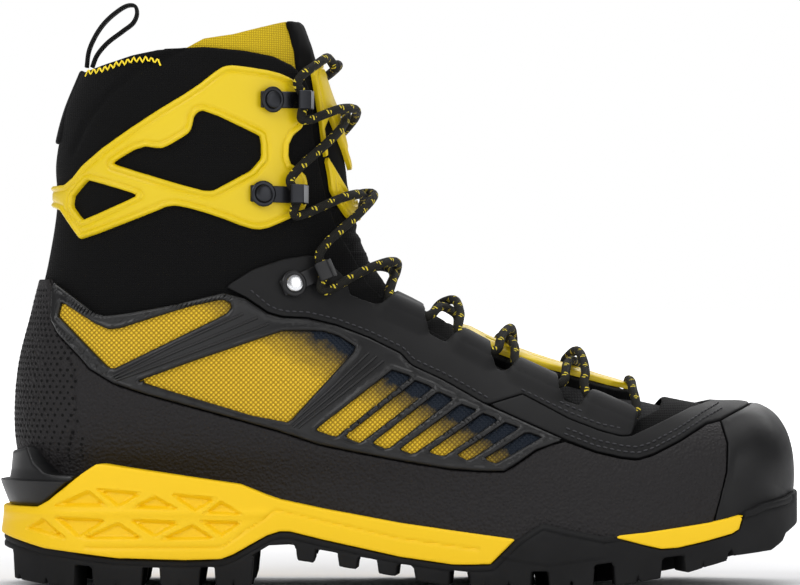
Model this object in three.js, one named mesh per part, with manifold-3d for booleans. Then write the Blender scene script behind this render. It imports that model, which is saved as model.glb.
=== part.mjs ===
// A right mountaineering boot, laced up and standing on its sole.
// Frame: +X towards the toe, +Y towards the inner (medial) side, +Z up, origin on the ground under the middle.
// Every outline is drawn in side view, as [x, z] of the base pattern, and is scaled to the driving sizes.
import * as THREE from 'three';
import { mergeVertices } from 'three/addons/utils/BufferGeometryUtils.js';
import Module from 'manifold-3d';

const wasm = await Module();
wasm.setup();

// Driving dimensions, in millimetres.
const bootLength = 310;
const shaftHeight = 209;
const ballWidth = 108;
const gap = 0.3; // between pieces that touch
const softshellThickness = 2.0;
const stiffenerThickness = 1.2;
const liningThickness = 3.0;
const vampThickness = 1.4;
const overlayThickness = 1.8;
const cageThickness = 1.8;
const tongueThickness = 4.4;
const tonguePlateThickness = 1.6;
const midsoleWrap = 4.2; // rubber that wraps up outside the midsole
const outsoleThickness = 3.6;
const laceDiameter = 3.6;
const webbingThickness = 1.4;
const webbingWidth = 10;
const rivetRadius = 5;
const footbedThickness = 4;
const boardThickness = 2;
const shankThickness = 2;

// The pattern was drawn for these sizes; the three scales carry it to the driving ones.
const patternLength = 310;
const patternHeight = 209;
const patternWidth = 108;
const scaleX = bootLength / patternLength;
const scaleY = ballWidth / patternWidth;
const scaleZ = shaftHeight / patternHeight;

// Sections of the upper from the toe, over the instep and round the heel, up to the collar.
// top and sole are the ends of each section in side view; half holds its outer and inner half widths.
// ridge is how far the instep's crest lies towards the inner side, widest where the section is widest.
const sections = [
  { top: [151.2, 44], sole: [151.2, 40], half: [1.5, 1.5], ridge: 6, keel: 6, widest: 0.5, crown: 2, base: 2 },
  { top: [150.2, 53], sole: [150.2, 33.5], half: [16, 14], ridge: 6, keel: 6, widest: 0.5, crown: 2, base: 2.1 },
  { top: [147.5, 60.5], sole: [147.5, 31], half: [25, 21], ridge: 6, keel: 6, widest: 0.52, crown: 2, base: 2.3 },
  { top: [142.5, 66], sole: [142.5, 29.5], half: [32.5, 26], ridge: 6, keel: 5.5, widest: 0.54, crown: 2.1, base: 2.4 },
  { top: [134, 69], sole: [134, 28.2], half: [39, 31], ridge: 6, keel: 4.5, widest: 0.56, crown: 2.1, base: 2.5 },
  { top: [121, 69.5], sole: [121, 26.5], half: [43.5, 35.5], ridge: 6.5, keel: 3.5, widest: 0.58, crown: 2.1, base: 2.6 },
  { top: [104, 72.5], sole: [105, 24.8], half: [46.5, 40], ridge: 7, keel: 2.5, widest: 0.6, crown: 2.05, base: 2.6 },
  { top: [85, 77], sole: [86, 23.8], half: [48, 43], ridge: 8, keel: 1.5, widest: 0.61, crown: 2, base: 2.6 },
  { top: [67.5, 82.3], sole: [66, 23.5], half: [48, 44.5], ridge: 8.5, keel: 0.5, widest: 0.62, crown: 2, base: 2.6 },
  { top: [49.3, 88.2], sole: [44, 24.3], half: [46.5, 44], ridge: 8.5, keel: 0, widest: 0.62, crown: 2, base: 2.6 },
  { top: [35.8, 93.5], sole: [24, 26], half: [44.5, 42], ridge: 8, keel: 0, widest: 0.62, crown: 2, base: 2.6 },
  { top: [23.2, 99.8], sole: [2, 28.6], half: [42.5, 40], ridge: 7, keel: 0, widest: 0.61, crown: 2, base: 2.5 },
  { top: [10, 107], sole: [-24, 31.6], half: [40.5, 38.5], ridge: 6, keel: 0, widest: 0.6, crown: 2, base: 2.5 },
  { top: [-2.5, 114.6], sole: [-55, 34.4], half: [39.3, 37.6], ridge: 5, keel: 0, widest: 0.58, crown: 2, base: 2.5 },
  { top: [-9.5, 123], sole: [-88, 35.8], half: [38.6, 37.4], ridge: 4, keel: 0, widest: 0.56, crown: 2, base: 2.5 },
  { top: [-14.3, 132], sole: [-116, 36], half: [38.3, 37.6], ridge: 3, keel: 0, widest: 0.53, crown: 2, base: 2.5 },
  { top: [-16.6, 139.5], sole: [-134, 38], half: [38.3, 37.8], ridge: 2.5, keel: 0, widest: 0.51, crown: 2, base: 2.4 },
  { top: [-18, 147], sole: [-143.5, 43.5], half: [38.3, 38], ridge: 2, keel: 0, widest: 0.5, crown: 2, base: 2.3 },
  { top: [-19.3, 155], sole: [-147, 53], half: [38.2, 38], ridge: 1.5, keel: 0, widest: 0.5, crown: 2, base: 2.25 },
  { top: [-20.8, 164], sole: [-147.9, 68], half: [38, 38], ridge: 1, keel: 0, widest: 0.5, crown: 2, base: 2.2 },
  { top: [-23, 174], sole: [-146.3, 86], half: [37.8, 37.8], ridge: 1, keel: 0, widest: 0.5, crown: 2, base: 2.15 },
  { top: [-25.4, 183], sole: [-141.3, 106], half: [37.6, 37.6], ridge: 0.5, keel: 0, widest: 0.5, crown: 2.05, base: 2.15 },
  { top: [-28, 190], sole: [-136.6, 126], half: [37.8, 37.8], ridge: 0.5, keel: 0, widest: 0.5, crown: 2.1, base: 2.1 },
  { top: [-30, 196], sole: [-133.4, 147], half: [38.4, 38.4], ridge: 0, keel: 0, widest: 0.5, crown: 2.1, base: 2.1 },
  { top: [-31.5, 201], sole: [-133.8, 164], half: [39, 39], ridge: 0, keel: 0, widest: 0.5, crown: 2.1, base: 2.1 },
  { top: [-33, 206], sole: [-130, 182], half: [39.5, 39.5], ridge: 0, keel: 0, widest: 0.5, crown: 2.1, base: 2.1 },
  { top: [-34.5, 211], sole: [-122.8, 200], half: [39.5, 39.5], ridge: 0, keel: 0, widest: 0.5, crown: 2.1, base: 2.1 },
  { top: [-37, 218], sole: [-117, 216], half: [38.5, 38.5], ridge: 0, keel: 0, widest: 0.5, crown: 2.1, base: 2.1 },
  { top: [-39.5, 225.5], sole: [-111, 233], half: [37.5, 37.5], ridge: 0, keel: 0, widest: 0.5, crown: 2.1, base: 2.1 },
];
const rowOf = (s) => [
  s.top[0] * scaleX, s.top[1] * scaleZ, s.sole[0] * scaleX, s.sole[1] * scaleZ,
  s.half[0] * scaleY, s.half[1] * scaleY, s.ridge * scaleY, s.keel * scaleY, s.widest, s.crown, s.base,
];
const rows = sections.map(rowOf);
const lastSection = sections.length - 1;

// A smooth curve through the rows of numbers; u counts sections from the toe.
function sectionAt(u) {
  const clamped = Math.min(Math.max(u, 0), lastSection);
  const i = Math.min(Math.floor(clamped), lastSection - 1);
  const f = clamped - i;
  const row = (k) => rows[Math.min(Math.max(k, 0), lastSection)];
  const [p, q, r, s] = [row(i - 1), row(i), row(i + 1), row(i + 2)];
  return q.map((_, k) => {
    const slopeIn = (r[k] - p[k]) / 2;
    const slopeOut = (s[k] - q[k]) / 2;
    const rise = r[k] - q[k];
    return q[k] + f * (slopeIn + f * (3 * rise - 2 * slopeIn - slopeOut + f * (slopeIn + slopeOut - 2 * rise)));
  });
}

// The upper's surface: angle 0 is the crest, a quarter turn the outer side, half a turn the sole or heel line.
function surfacePoint(u, angle) {
  const [tx, tz, sx, sz, outer, inner, ridge, keel, widest, crown, base] = sectionAt(u);
  const c = Math.cos(angle);
  const n = Math.sin(angle);
  const power = 2 / (c >= 0 ? crown : base);
  const along = c >= 0 ? widest * (1 - Math.abs(c) ** power) : widest + (1 - widest) * Math.abs(c) ** power;
  const out = Math.abs(n) ** power * (n >= 0 ? -outer : inner);
  return new THREE.Vector3(
    tx + (sx - tx) * along,
    ridge + (keel - ridge) * along + out,
    tz + (sz - tz) * along,
  );
}
function surfaceNormal(u, angle) {
  if (u < 0.02) return new THREE.Vector3(1, 0, 0);
  const step = 0.02;
  const turn = 0.03;
  const alongSections = surfacePoint(Math.min(u + step, lastSection), angle)
    .sub(surfacePoint(u - step, angle));
  const around = surfacePoint(u, angle + turn).sub(surfacePoint(u, angle - turn));
  return alongSections.cross(around).normalize();
}
const offsetPoint = (u, angle, depth) =>
  surfacePoint(u, angle).addScaledVector(surfaceNormal(u, angle), depth);

// The section and angle whose side view is [x, z]; side is -1 outer, 1 inner.
function locate(x, z, side) {
  const cross = (u) => {
    const [tx, tz, sx, sz] = sectionAt(u);
    return (sx - tx) * (z - tz) - (sz - tz) * (x - tx);
  };
  let u = 0.5;
  const step = 0.25;
  while (u < lastSection && cross(u) * cross(u + step) > 0) u += step;
  let [low, high] = [u, Math.min(u + step, lastSection)];
  for (let i = 0; i < 24; i++) {
    const mid = (low + high) / 2;
    if (cross(low) * cross(mid) <= 0) high = mid;
    else low = mid;
  }
  const [tx, tz, sx, sz, , , , , widest, crown, base] = sectionAt(low);
  const length2 = (sx - tx) ** 2 + (sz - tz) ** 2;
  const along = Math.min(Math.max(((x - tx) * (sx - tx) + (z - tz) * (sz - tz)) / length2, 0), 1);
  const angle = along < widest
    ? Math.acos((1 - along / widest) ** (crown / 2))
    : Math.PI - Math.acos(((along - widest) / (1 - widest)) ** (base / 2));
  return [low, side < 0 ? angle : 2 * Math.PI - angle];
}
const OUTER = -1;
const INNER = 1;

// The frame of a fitting on the surface: z out of it, x towards the crest line direction given.
function seat(x, z, side, depth, towards) {
  const [u, angle] = locate(x * scaleX, z * scaleZ, side);
  const normal = surfaceNormal(u, angle);
  const origin = surfacePoint(u, angle).addScaledVector(normal, depth);
  const [fu, fa] = locate(towards[0] * scaleX, towards[1] * scaleZ, side);
  const forward = surfacePoint(fu, fa).sub(origin);
  forward.addScaledVector(normal, -forward.dot(normal)).normalize();
  const across = new THREE.Vector3().crossVectors(normal, forward);
  return new THREE.Matrix4().makeBasis(forward, across, normal).setPosition(origin);
}

// Solids: a closed three.js geometry to manifold-3d and back.
function solidOf(geometry) {
  const bare = geometry.clone();
  for (const name of Object.keys(bare.attributes)) if (name !== 'position') bare.deleteAttribute(name);
  const merged = mergeVertices(bare, 1e-4);
  return new wasm.Manifold(new wasm.Mesh({
    numProp: 3,
    vertProperties: new Float32Array(merged.attributes.position.array),
    triVerts: new Uint32Array(merged.index.array),
  }));
}
function geometryOf(solid) {
  const mesh = solid.getMesh();
  return new THREE.BufferGeometry()
    .setAttribute('position', new THREE.BufferAttribute(new Float32Array(mesh.vertProperties), 3))
    .setIndex(new THREE.BufferAttribute(new Uint32Array(mesh.triVerts), 1));
}
const largest = (solid) =>
  solid.decompose().reduce((a, b) => (b.volume() > a.volume() ? b : a));

// The closed body of the upper, grown or shrunk by depth. Every layer shares its grid, so layers stay parallel.
const ringAngles = 16;
const ringSections = [0, 0.6, 1.5, 2.6, 4, 6, 8, 10, 11.8, 13, 14, 15, 16, 17, 18.5, 20, 22, 24, 26, 28];
function upperBody(depth) {
  const points = [];
  for (const u of ringSections) {
    for (let i = 0; i < ringAngles; i++) {
      points.push(offsetPoint(u, (i * 2 * Math.PI) / ringAngles, depth));
    }
  }
  const toe = points.length;
  const mean = (start) => points.slice(start, start + ringAngles)
    .reduce((sum, p) => sum.add(p), new THREE.Vector3()).divideScalar(ringAngles);
  points.push(mean(0), mean(toe - ringAngles));
  const faces = [];
  for (let i = 0; i < ringAngles; i++) {
    const j = (i + 1) % ringAngles;
    faces.push(toe, i, j);
    faces.push(toe + 1, toe - ringAngles + j, toe - ringAngles + i);
    for (let k = 0; k < ringSections.length - 1; k++) {
      const [a, b] = [k * ringAngles + i, k * ringAngles + j];
      faces.push(a, a + ringAngles, b + ringAngles, a, b + ringAngles, b);
    }
  }
  const geometry = new THREE.BufferGeometry().setFromPoints(points).setIndex(faces);
  const made = solidOf(geometry);
  return made.volume() < 0 ? solidOf(geometry.clone().setIndex(faces.reverse())) : made;
}
const bodies = new Map();
function body(depth) {
  const key = depth.toFixed(3);
  if (!bodies.has(key)) bodies.set(key, upperBody(depth));
  return bodies.get(key);
}
const layer = (from, thickness) => body(from + thickness).subtract(body(from));

// A side-view outline as a bar along Y, and a plan outline as a bar along Z.
const shapeOf = (outline) => new THREE.Shape(outline.map(([a, b]) => new THREE.Vector2(a, b)));
function bar(outline, from = -120, to = 120) {
  const shape = shapeOf(outline.map(([x, z]) => [x * scaleX, z * scaleZ]));
  const geometry = new THREE.ExtrudeGeometry(shape, { depth: to - from, bevelEnabled: false });
  return solidOf(geometry.rotateX(Math.PI / 2).translate(0, to, 0));
}
function column(outline, from, to) {
  const geometry = new THREE.ExtrudeGeometry(shapeOf(outline), { depth: to - from, bevelEnabled: false });
  return solidOf(geometry.translate(0, 0, from));
}

// A flat ribbon's outline along a path.
function ribbon(path, thickness) {
  const side = (sign) => path.map(([x, z], i) => {
    const [ax, az] = path[Math.max(i - 1, 0)];
    const [bx, bz] = path[Math.min(i + 1, path.length - 1)];
    const length = Math.hypot(bx - ax, bz - az);
    return [x - (sign * thickness * (bz - az)) / 2 / length, z + (sign * thickness * (bx - ax)) / 2 / length];
  });
  return [...side(1), ...side(-1).reverse()];
}
function tube(points, radius, steps, sides = 8) {
  const circle = [];
  for (let i = 0; i < sides; i++) {
    const a = (i * 2 * Math.PI) / sides;
    circle.push([radius * Math.cos(a), radius * Math.sin(a)]);
  }
  const path = new THREE.CatmullRomCurve3(points);
  return solidOf(new THREE.ExtrudeGeometry(shapeOf(circle), { steps, extrudePath: path, bevelEnabled: false }));
}
const tubeAlong = (points, radius) => {
  const length = new THREE.CatmullRomCurve3(points).getLength();
  return tube(points, radius, Math.max(2, Math.round(length / 6)));
};

// Side-view outlines of the upper, as [x, z].
const collarLine = [[-150, 199.6], [-122, 199.6], [-117, 200.3], [-110, 205.4], [-103, 208], [-92.8, 209.6], [-75, 210.6], [-59, 209.6],
  [-48, 207.9], [-40, 205], [-34, 197.5], [0, 197.5], [170, 197.5], [170, -20], [-170, -20], [-170, 199.6]];
const cageTop = [[-132, 117], [-124, 111.2], [-116.2, 105.3], [-112.3, 104.3], [-104, 105.3], [-85.8, 108.8],
  [-67.8, 113.2], [-59.7, 110.9], [-51, 105], [-45.6, 103.4], [-36, 102.8], [-25, 99.9], [-12.5, 94.9], [0, 88.6],
  [4, 84.3], [16.4, 78.5], [31.6, 69.9], [46.4, 63.3], [62.4, 56.3]];
const cageBottom = [[51.9, 52.9], [43.7, 47.4], [39.8, 45.2], [31.6, 45.2], [19.5, 46.2], [4.7, 48.6], [-16.4, 52.5],
  [-31.2, 55.6], [-46.8, 60.7], [-97.5, 74.7], [-109.2, 78.6], [-118.2, 84.1], [-122.1, 88.7], [-130.3, 97.3],
  [-133, 102.4], [-132.6, 113.1]];
const sideCageOutline = [...cageTop, ...cageBottom];
const windows = [
  [[-129.1, 109.6], [-116.2, 101.4], [-109, 99.2], [-94, 103.7], [-80, 108], [-68.3, 110.5], [-64.7, 107.6],
    [-66.7, 105.1], [-109.6, 83.9], [-130.3, 104.1]],
  [[-99.8, 79.6], [-79.2, 87], [-46.5, 98], [-37, 98.3], [-26, 97], [-17.6, 92], [-42.5, 63.6], [-91.3, 76.8]],
  [[-32.4, 60.8], [-3.1, 82.9], [4.3, 80.3], [-24.6, 58.1]],
  [[-21.1, 58.1], [5.9, 78.8], [12.5, 76.1], [-15.2, 55.8]],
  [[-10.5, 55.8], [14.4, 74.5], [20.3, 71.8], [-4.7, 53.4]],
  [[0, 53.4], [23, 69.8], [29.3, 67.5], [5.1, 51.5]],
  [[10.9, 52.3], [31.6, 66.3], [37.8, 64], [16.8, 50.7]],
  [[21.8, 51.1], [40.2, 62.8], [45.6, 60.8], [26.1, 49.1]],
  [[32, 49.5], [48.4, 59.3], [54.2, 57.3], [36.7, 48]],
];
const meshOutline = [[-129.5, 112.6], [-115, 103.2], [-104, 103.8], [-69, 111.8], [-46, 102], [-25, 98.5], [-1, 87.5],
  [31, 68.6], [50, 60], [56, 56.6], [42, 48.3], [31, 46.4], [4, 50.2], [-46, 62.2], [-97, 76.2], [-117, 85.6],
  [-130.4, 99.5]];
const randOutline = [[-170, 118], [-134, 118], [-133, 113], [-133.4, 102.2], [-130.6, 96.9], [-122.4, 88.3],
  [-118.4, 83.7], [-109.3, 78.1], [-97.6, 74.2], [-46.9, 60.2], [-31.2, 55.1], [-16.4, 52], [4.7, 48.1], [19.5, 45.7],
  [31.6, 44.7], [39.9, 44.7], [44, 46.9], [52.2, 52.4], [58, 54.6], [63, 55.6], [74.5, 51.5], [84.2, 49.3], [90.5, 48.7],
  [96.3, 50.3], [106.5, 55], [117.4, 61.1], [122.8, 62.2], [124.8, 54.6], [124, 44.5], [119, 26.5], [119, -20],
  [-170, -20]];
const toeCapOutline = [[123.3, 62.5], [125.3, 54.6], [124.5, 44.5], [119.5, 26.5], [119.5, -20], [170, -20],
  [170, 71.5], [143, 71.5]];
const vampStripOutline = [[34, 69.5], [46.8, 73], [64.4, 63.8], [76.4, 59.3], [84.2, 57.3], [88.1, 57.5], [96.7, 61],
  [111.5, 67.3], [124.8, 70.6], [136, 90], [170, 90], [170, 72], [143, 72], [123, 63], [117.4, 61.9], [106.5, 55.8],
  [96.3, 51.1], [90.5, 49.5], [84.2, 50.1], [74.5, 52.3], [63.3, 56.5], [46.8, 63.7]];
const facingOutline = [[-67, 115.4], [-56.6, 122.1], [-44.9, 126.2], [-34.7, 127.3], [-28.9, 125.2], [-21.8, 118.2],
  [-19.9, 111.9], [-14.8, 109.6], [-8.6, 107.3], [-5.4, 109.2], [-2.4, 112], [7.4, 105.6], [7.8, 100.6], [11.3, 95.9],
  [16.5, 93], [22.4, 96.2], [26, 94.6], [33.2, 90.6], [33.8, 86], [37.4, 82.3], [41.3, 81.3], [45.4, 84.6],
  [50, 82.6], [59.6, 78.4], [60.2, 73.7], [63, 70.4], [68.3, 68.6], [73, 72.2], [76.4, 71.6], [89, 66],
  [90.5, 63.2], [88.1, 57.9], [84.2, 57.7], [76.4, 59.7], [64.4, 64.2], [46.8, 73.4], [34, 69.9], [31.8, 70.3],
  [16.6, 78.9], [4.2, 84.7], [0.2, 89.1], [-12.3, 95.4], [-24.9, 100.4], [-35.9, 103.3], [-45.4, 103.9], [-50.8, 105.5],
  [-59.3, 111.4]];
const ankleCageOutline = [[-65.9, 200.3], [-60.5, 199.9], [-48.6, 198.1], [-42.5, 195.4], [-37, 191.5], [-37, 177.8],
  [-43.3, 172.4], [-43.7, 163.4], [-38, 159.5], [-36.3, 157.2], [-36.5, 148.6], [-40.6, 142.7], [-52.7, 137.3],
  [-58.1, 137.8], [-70.6, 142.7], [-84.2, 146.6], [-92.4, 144.7], [-121.7, 133.5], [-123.2, 134.9], [-132.2, 148.2],
  [-150, 149], [-150, 155], [-132.2, 155], [-127.1, 155.4], [-119.3, 164.6], [-96.3, 180.6], [-78.4, 191.5],
  [-69.4, 198.9]];
const ankleCageHoles = [
  [[-78.4, 182.1], [-74.5, 183.1], [-55.4, 174.1], [-53.2, 172], [-53.2, 162.2], [-71.8, 152.1], [-76.4, 152.3],
    [-109.2, 162.2], [-98.7, 169.5], [-89.7, 168.7], [-80.7, 174.1]],
  [[-119, 156.4], [-100.2, 150.9], [-120.8, 141.2], [-126.2, 148.2]],
];
const tonguePlateOutline = [[-29.5, 178], [-30, 162], [-29, 155.6], [-22, 143.8], [-18.5, 141.6], [10, 141.6],
  [10, 184], [-22, 184]];
const lowerPlateOutline = [[23.8, 97.6], [27.7, 98.6], [60, 84], [88, 71], [92, 70], [96, 120], [20, 120]];

// Plans, seen from above, as [x, y].
const scalePlan = (outline) => outline.map(([x, y]) => [x * scaleX, y * scaleY]);
const solePlan = scalePlan([[-154.5, 0], [-153, -14], [-147, -27], [-135, -37.5], [-116, -43], [-90, -43.8],
  [-50, -43.4], [-10, -45], [25, -49], [52, -52.5], [78, -53.8], [100, -52], [118, -48], [134, -40.5], [146.5, -29],
  [153, -14], [155, 3], [154, 16], [149, 27.5], [140, 36], [127, 42.5], [110, 46.8], [90, 49.8], [65, 51],
  [40, 49.4], [10, 46.6], [-20, 44.2], [-50, 43], [-90, 43.6], [-116, 42.8], [-135, 37.5], [-147, 27], [-153, 14]]);
function shrink(outline, amount) {
  const count = outline.length;
  return outline.map(([x, y], i) => {
    const [ax, ay] = outline[(i + count - 1) % count];
    const [bx, by] = outline[(i + 1) % count];
    const length = Math.hypot(bx - ax, by - ay);
    return [x - (amount * (by - ay)) / length, y + (amount * (bx - ax)) / length];
  });
}
const throatPlan = (play) => scalePlan([[-78, -21 + play], [-20, -21 + play], [10, -17 + play], [45, -11 + play],
  [84, -6 + play], [93 - play, 1], [93 - play, 12], [84, 18 - play], [45, 23 - play], [10, 23 - play],
  [-20, 21 - play], [-78, 21 - play]]);
const throat = column(throatPlan(0), 55, 280);
const tongueColumn = column(throatPlan(0.5), 55, 280);
const innerSole = shrink(solePlan, 14);

// Inside the boot.
const collar = bar(collarLine);
const stiffenerDepth = -softshellThickness - gap - stiffenerThickness;
const liningDepth = stiffenerDepth - gap - liningThickness;
const padLine = [[-170, 167], [-20, 160], [170, 160], [170, -20], [-170, -20]];
const padRegion = [[-170, 167.5], [-20, 160.5], [0, 160.5], [0, 250], [-170, 250]];
const padThickness = liningThickness + 1.7;
const softshell = layer(-softshellThickness, softshellThickness).intersect(collar).subtract(throat);
const lining = layer(liningDepth, liningThickness).intersect(bar(padLine)).subtract(throat);
const collarPad = layer(liningDepth - 1.7, padThickness).intersect(collar).intersect(bar(padRegion))
  .subtract(throat);
const footbed = layer(liningDepth - gap - footbedThickness, footbedThickness)
  .intersect(bar([[-134, 50], [-60, 44], [0, 38], [60, 33], [138, 36], [138, 0], [-134, 0]]));
const insoleBoard = layer(stiffenerDepth, stiffenerThickness)
  .intersect(bar([[-142, 43], [-60, 40], [0, 34], [60, 29], [147, 33], [147, 0], [-142, 0]]));
const heelStiffener = layer(stiffenerDepth, stiffenerThickness)
  .intersect(bar([[-170, 44], [-142, 43.6], [-98, 42.2], [-92, 60], [-104, 88], [-126, 112], [-170, 112]]));
const toePuff = largest(layer(stiffenerDepth, stiffenerThickness)
  .intersect(bar([[116, 33], [146.4, 34.5], [170, 36], [170, 90], [112, 90], [108, 60]])));
const tongueLayer = layer(-tongueThickness, tongueThickness).intersect(tongueColumn);
const tongueLine = 137;
const tongueUpper = largest(tongueLayer.intersect(bar([[-70, tongueLine + 0.4], [30, tongueLine + 0.4], [30, 250],
  [-42, 220.5], [-46, 218.5], [-70, 213]])));
const tongueLower = largest(tongueLayer.intersect(bar([[-33, tongueLine - 0.4], [170, tongueLine - 0.4], [170, 40],
  [-33, 40]])));
const plateColumn = column(throatPlan(1.2), 55, 280);
const tonguePlate = largest(layer(gap, tonguePlateThickness).intersect(plateColumn).intersect(bar(tonguePlateOutline)));
const lowerPlatePlan = scalePlan([[20, -5], [45, -4], [82, 1], [85, 5], [82, 9], [45, 11], [20, 13]]);
const lowerPlate = largest(layer(gap, tonguePlateThickness).intersect(column(lowerPlatePlan, 55, 280))
  .intersect(bar(lowerPlateOutline)));

// The lace: one half is described by the side it starts on and whether it crosses over or under.
const laceRadius = laceDiameter / 2;
const tunnelDepth = gap + 0.75 + 0.35 + laceRadius;
const tunnels = [
  { rear: [73, 70.2], front: [89, 63.6] },
  { rear: [45, 82.2], front: [60, 75.4] },
  { rear: [23, 93.8], front: [34, 88] },
  { rear: [-5, 107.8], front: [8, 101.8] },
];
const hookPlate = 1;
const hookWidth = 6.4;
const hooks = [
  { name: 'ankle_lock_hook', rivet: [-41.9, 116.2], lace: [-31.6, 120.6] },
  { name: 'lower_speed_hook', rivet: [-53.6, 150.9], lace: [-41.6, 150.5] },
  { name: 'upper_speed_hook', rivet: [-50.7, 187.2], lace: [-40.5, 187.2] },
];
const hookSag = 0.55;
const hookTurn = hookWidth / 2 + laceDiameter + 1.2; // how far past a hook the lace turns off
const hookDepth = gap + cageThickness + gap;
const hookLaceDepth = hookDepth + hookPlate + 0.35 + laceRadius + hookSag;
const under = gap + tonguePlateThickness + 0.5 + laceRadius;
const over = under + laceDiameter + 0.6;
const waypoint = ([x, z], side, depth) => {
  const [u, angle] = locate(x * scaleX, z * scaleZ, side);
  return new THREE.Vector3(u, side < 0 ? angle : angle - 2 * Math.PI, depth);
};
function crossing(from, to, depth) {
  const middle = from.clone().add(to).multiplyScalar(0.5);
  const [a, b] = [from.clone().lerp(to, 0.25), from.clone().lerp(to, 0.75)];
  a.z = (depth + under + from.z) / 3 + 1;
  b.z = (depth + under + to.z) / 3 + 1;
  return [a, new THREE.Vector3(middle.x, middle.y, depth), b];
}
function laceHalf(firstSide, crossDepth, ending) {
  let side = firstSide;
  const path = [];
  for (const { rear, front } of tunnels) {
    const start = waypoint(front, side, tunnelDepth);
    if (path.length) path.push(...crossing(path[path.length - 1], start, crossDepth));
    path.push(start, start.clone().lerp(waypoint(rear, side, tunnelDepth), 0.5), waypoint(rear, side, tunnelDepth));
    side = -side;
  }
  for (const { lace } of hooks) {
    const [x, z] = lace;
    const below = waypoint([x - 0.1, z - hookTurn], side, hookLaceDepth - 0.4);
    path.push(...crossing(path[path.length - 1], below, crossDepth));
    path.push(below, waypoint([x, z], side, hookLaceDepth));
    path.push(waypoint([x - 1.7, z + hookTurn], side, hookLaceDepth - 0.4));
    side = -side;
  }
  path.push(...ending.map(([x, z, where, depth]) => waypoint([x, z], where, depth)));
  return path;
}
const endsOver = [[-33, 203, OUTER, 5], [-28.2, 200, OUTER, 6], [-31, 200, INNER, 6.5], [-44, 193, INNER, 12],
  [-56, 180, INNER, 9], [-62, 160, INNER, 7]];
const endsUnder = [[-45, 200.5, INNER, 5.2], [-58, 202, INNER, 5], [-70, 196, INNER, 5], [-76, 182, INNER, 5],
  [-78, 160, INNER, 6]];
const halfOver = laceHalf(OUTER, over, endsOver);
const halfUnder = laceHalf(INNER, under, endsUnder);
const toSpace = (p) => offsetPoint(p.x, p.y < 0 ? p.y + 2 * Math.PI : p.y, p.z);
function spread(path) {
  const curve = new THREE.CatmullRomCurve3(path);
  return curve.getPoints(path.length * 3).map(toSpace);
}
const toeBar = crossing(halfOver[0], halfUnder[0], under - 1);
const lacePath = spread([...halfOver.slice().reverse(), ...toeBar, ...halfUnder]);
const laceCurve = new THREE.CatmullRomCurve3(lacePath);
const laceLength = laceCurve.getLength();
const lace = tube(lacePath, laceRadius, Math.round(laceLength / 8.5), 6);
const laceWay = tube(lacePath, laceRadius + 0.45, Math.round(laceLength / 8.5), 6);
const aglet = (end, before) => {
  const direction = end.clone().sub(before).normalize();
  const start = end.clone().addScaledVector(direction, gap);
  return tube([start, start.clone().addScaledVector(direction, 18)], laceRadius - 0.1, 1);
};
const pathEnd = lacePath.length - 1;

// Speed hooks, riveted to the cage; local x points to the crest and z away from the boot.
const plateHole = 1.9;
function hookSeat({ rivet, lace: at }, side, depth) {
  const middle = [(rivet[0] + at[0]) / 2, (rivet[1] + at[1]) / 2];
  return seat(middle[0], middle[1], side, depth, at);
}
// From a hook's seat it is as far to the lace one way as to the rivet the other.
function reachOf(hook, side) {
  const [a, b] = [hook.rivet, hook.lace].map(([x, z]) => surfacePoint(...locate(x * scaleX, z * scaleZ, side)));
  return a.distanceTo(b) / 2;
}
function hookSolid(hook, side) {
  const reach = reachOf(hook, side);
  const headUnder = hookPlate + 0.7 + laceDiameter + 0.3;
  const neck = reach + laceRadius + 1.5;
  const profile = [[-reach - 5, 0], [neck + 1.2, 0], [neck + 1.2, headUnder + 1.2], [reach - 3.4, headUnder + 1.2],
    [reach - 3.4, headUnder], [neck, headUnder], [neck, hookPlate], [-reach - 5, hookPlate]];
  const geometry = new THREE.ExtrudeGeometry(shapeOf(profile), { depth: hookWidth, bevelEnabled: false });
  geometry.rotateX(Math.PI / 2).translate(0, hookWidth / 2, 0);
  const hole = new THREE.CylinderGeometry(plateHole, plateHole, 6, 12).rotateX(Math.PI / 2)
    .translate(-reach, 0, 0);
  return transformed(solidOf(geometry).subtract(solidOf(hole)), hookSeat(hook, side, hookDepth));
}
function transformed(solid, matrix) {
  return solidOf(geometryOf(solid).applyMatrix4(matrix));
}
function rivetSolid(hook, side) {
  const points = [[0, -3.7], [1.5, -3.7], [1.5, hookPlate + gap], [rivetRadius, hookPlate + gap],
    [rivetRadius - 0.6, hookPlate + 1.3], [0, hookPlate + 1.8]];
  const profile = points.map(([r, z]) => new THREE.Vector2(r, z));
  const geometry = new THREE.LatheGeometry(profile, 12).rotateX(Math.PI / 2).translate(-reachOf(hook, side), 0, 0);
  return transformed(outward(geometry), hookSeat(hook, side, hookDepth));
}
function outward(geometry) {
  const made = solidOf(geometry);
  if (made.volume() > 0) return made;
  const index = Array.from(mergeVertices(bareOf(geometry), 1e-4).index.array).reverse();
  return solidOf(mergeVertices(bareOf(geometry), 1e-4).setIndex(index));
}
function bareOf(geometry) {
  return new THREE.BufferGeometry().setAttribute('position', geometry.attributes.position.clone())
    .setIndex(geometry.index);
}
function rivetHole(hook, side) {
  const geometry = new THREE.CylinderGeometry(plateHole, plateHole, 12, 12).rotateX(Math.PI / 2)
    .translate(-reachOf(hook, side), 0, 0);
  return transformed(solidOf(geometry), hookSeat(hook, side, hookDepth));
}
const holes = [];
for (const hook of hooks) for (const side of [OUTER, INNER]) holes.push(rivetHole(hook, side));
const drill = (solid) => holes.reduce((left, hole) => left.subtract(hole), solid);

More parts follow.
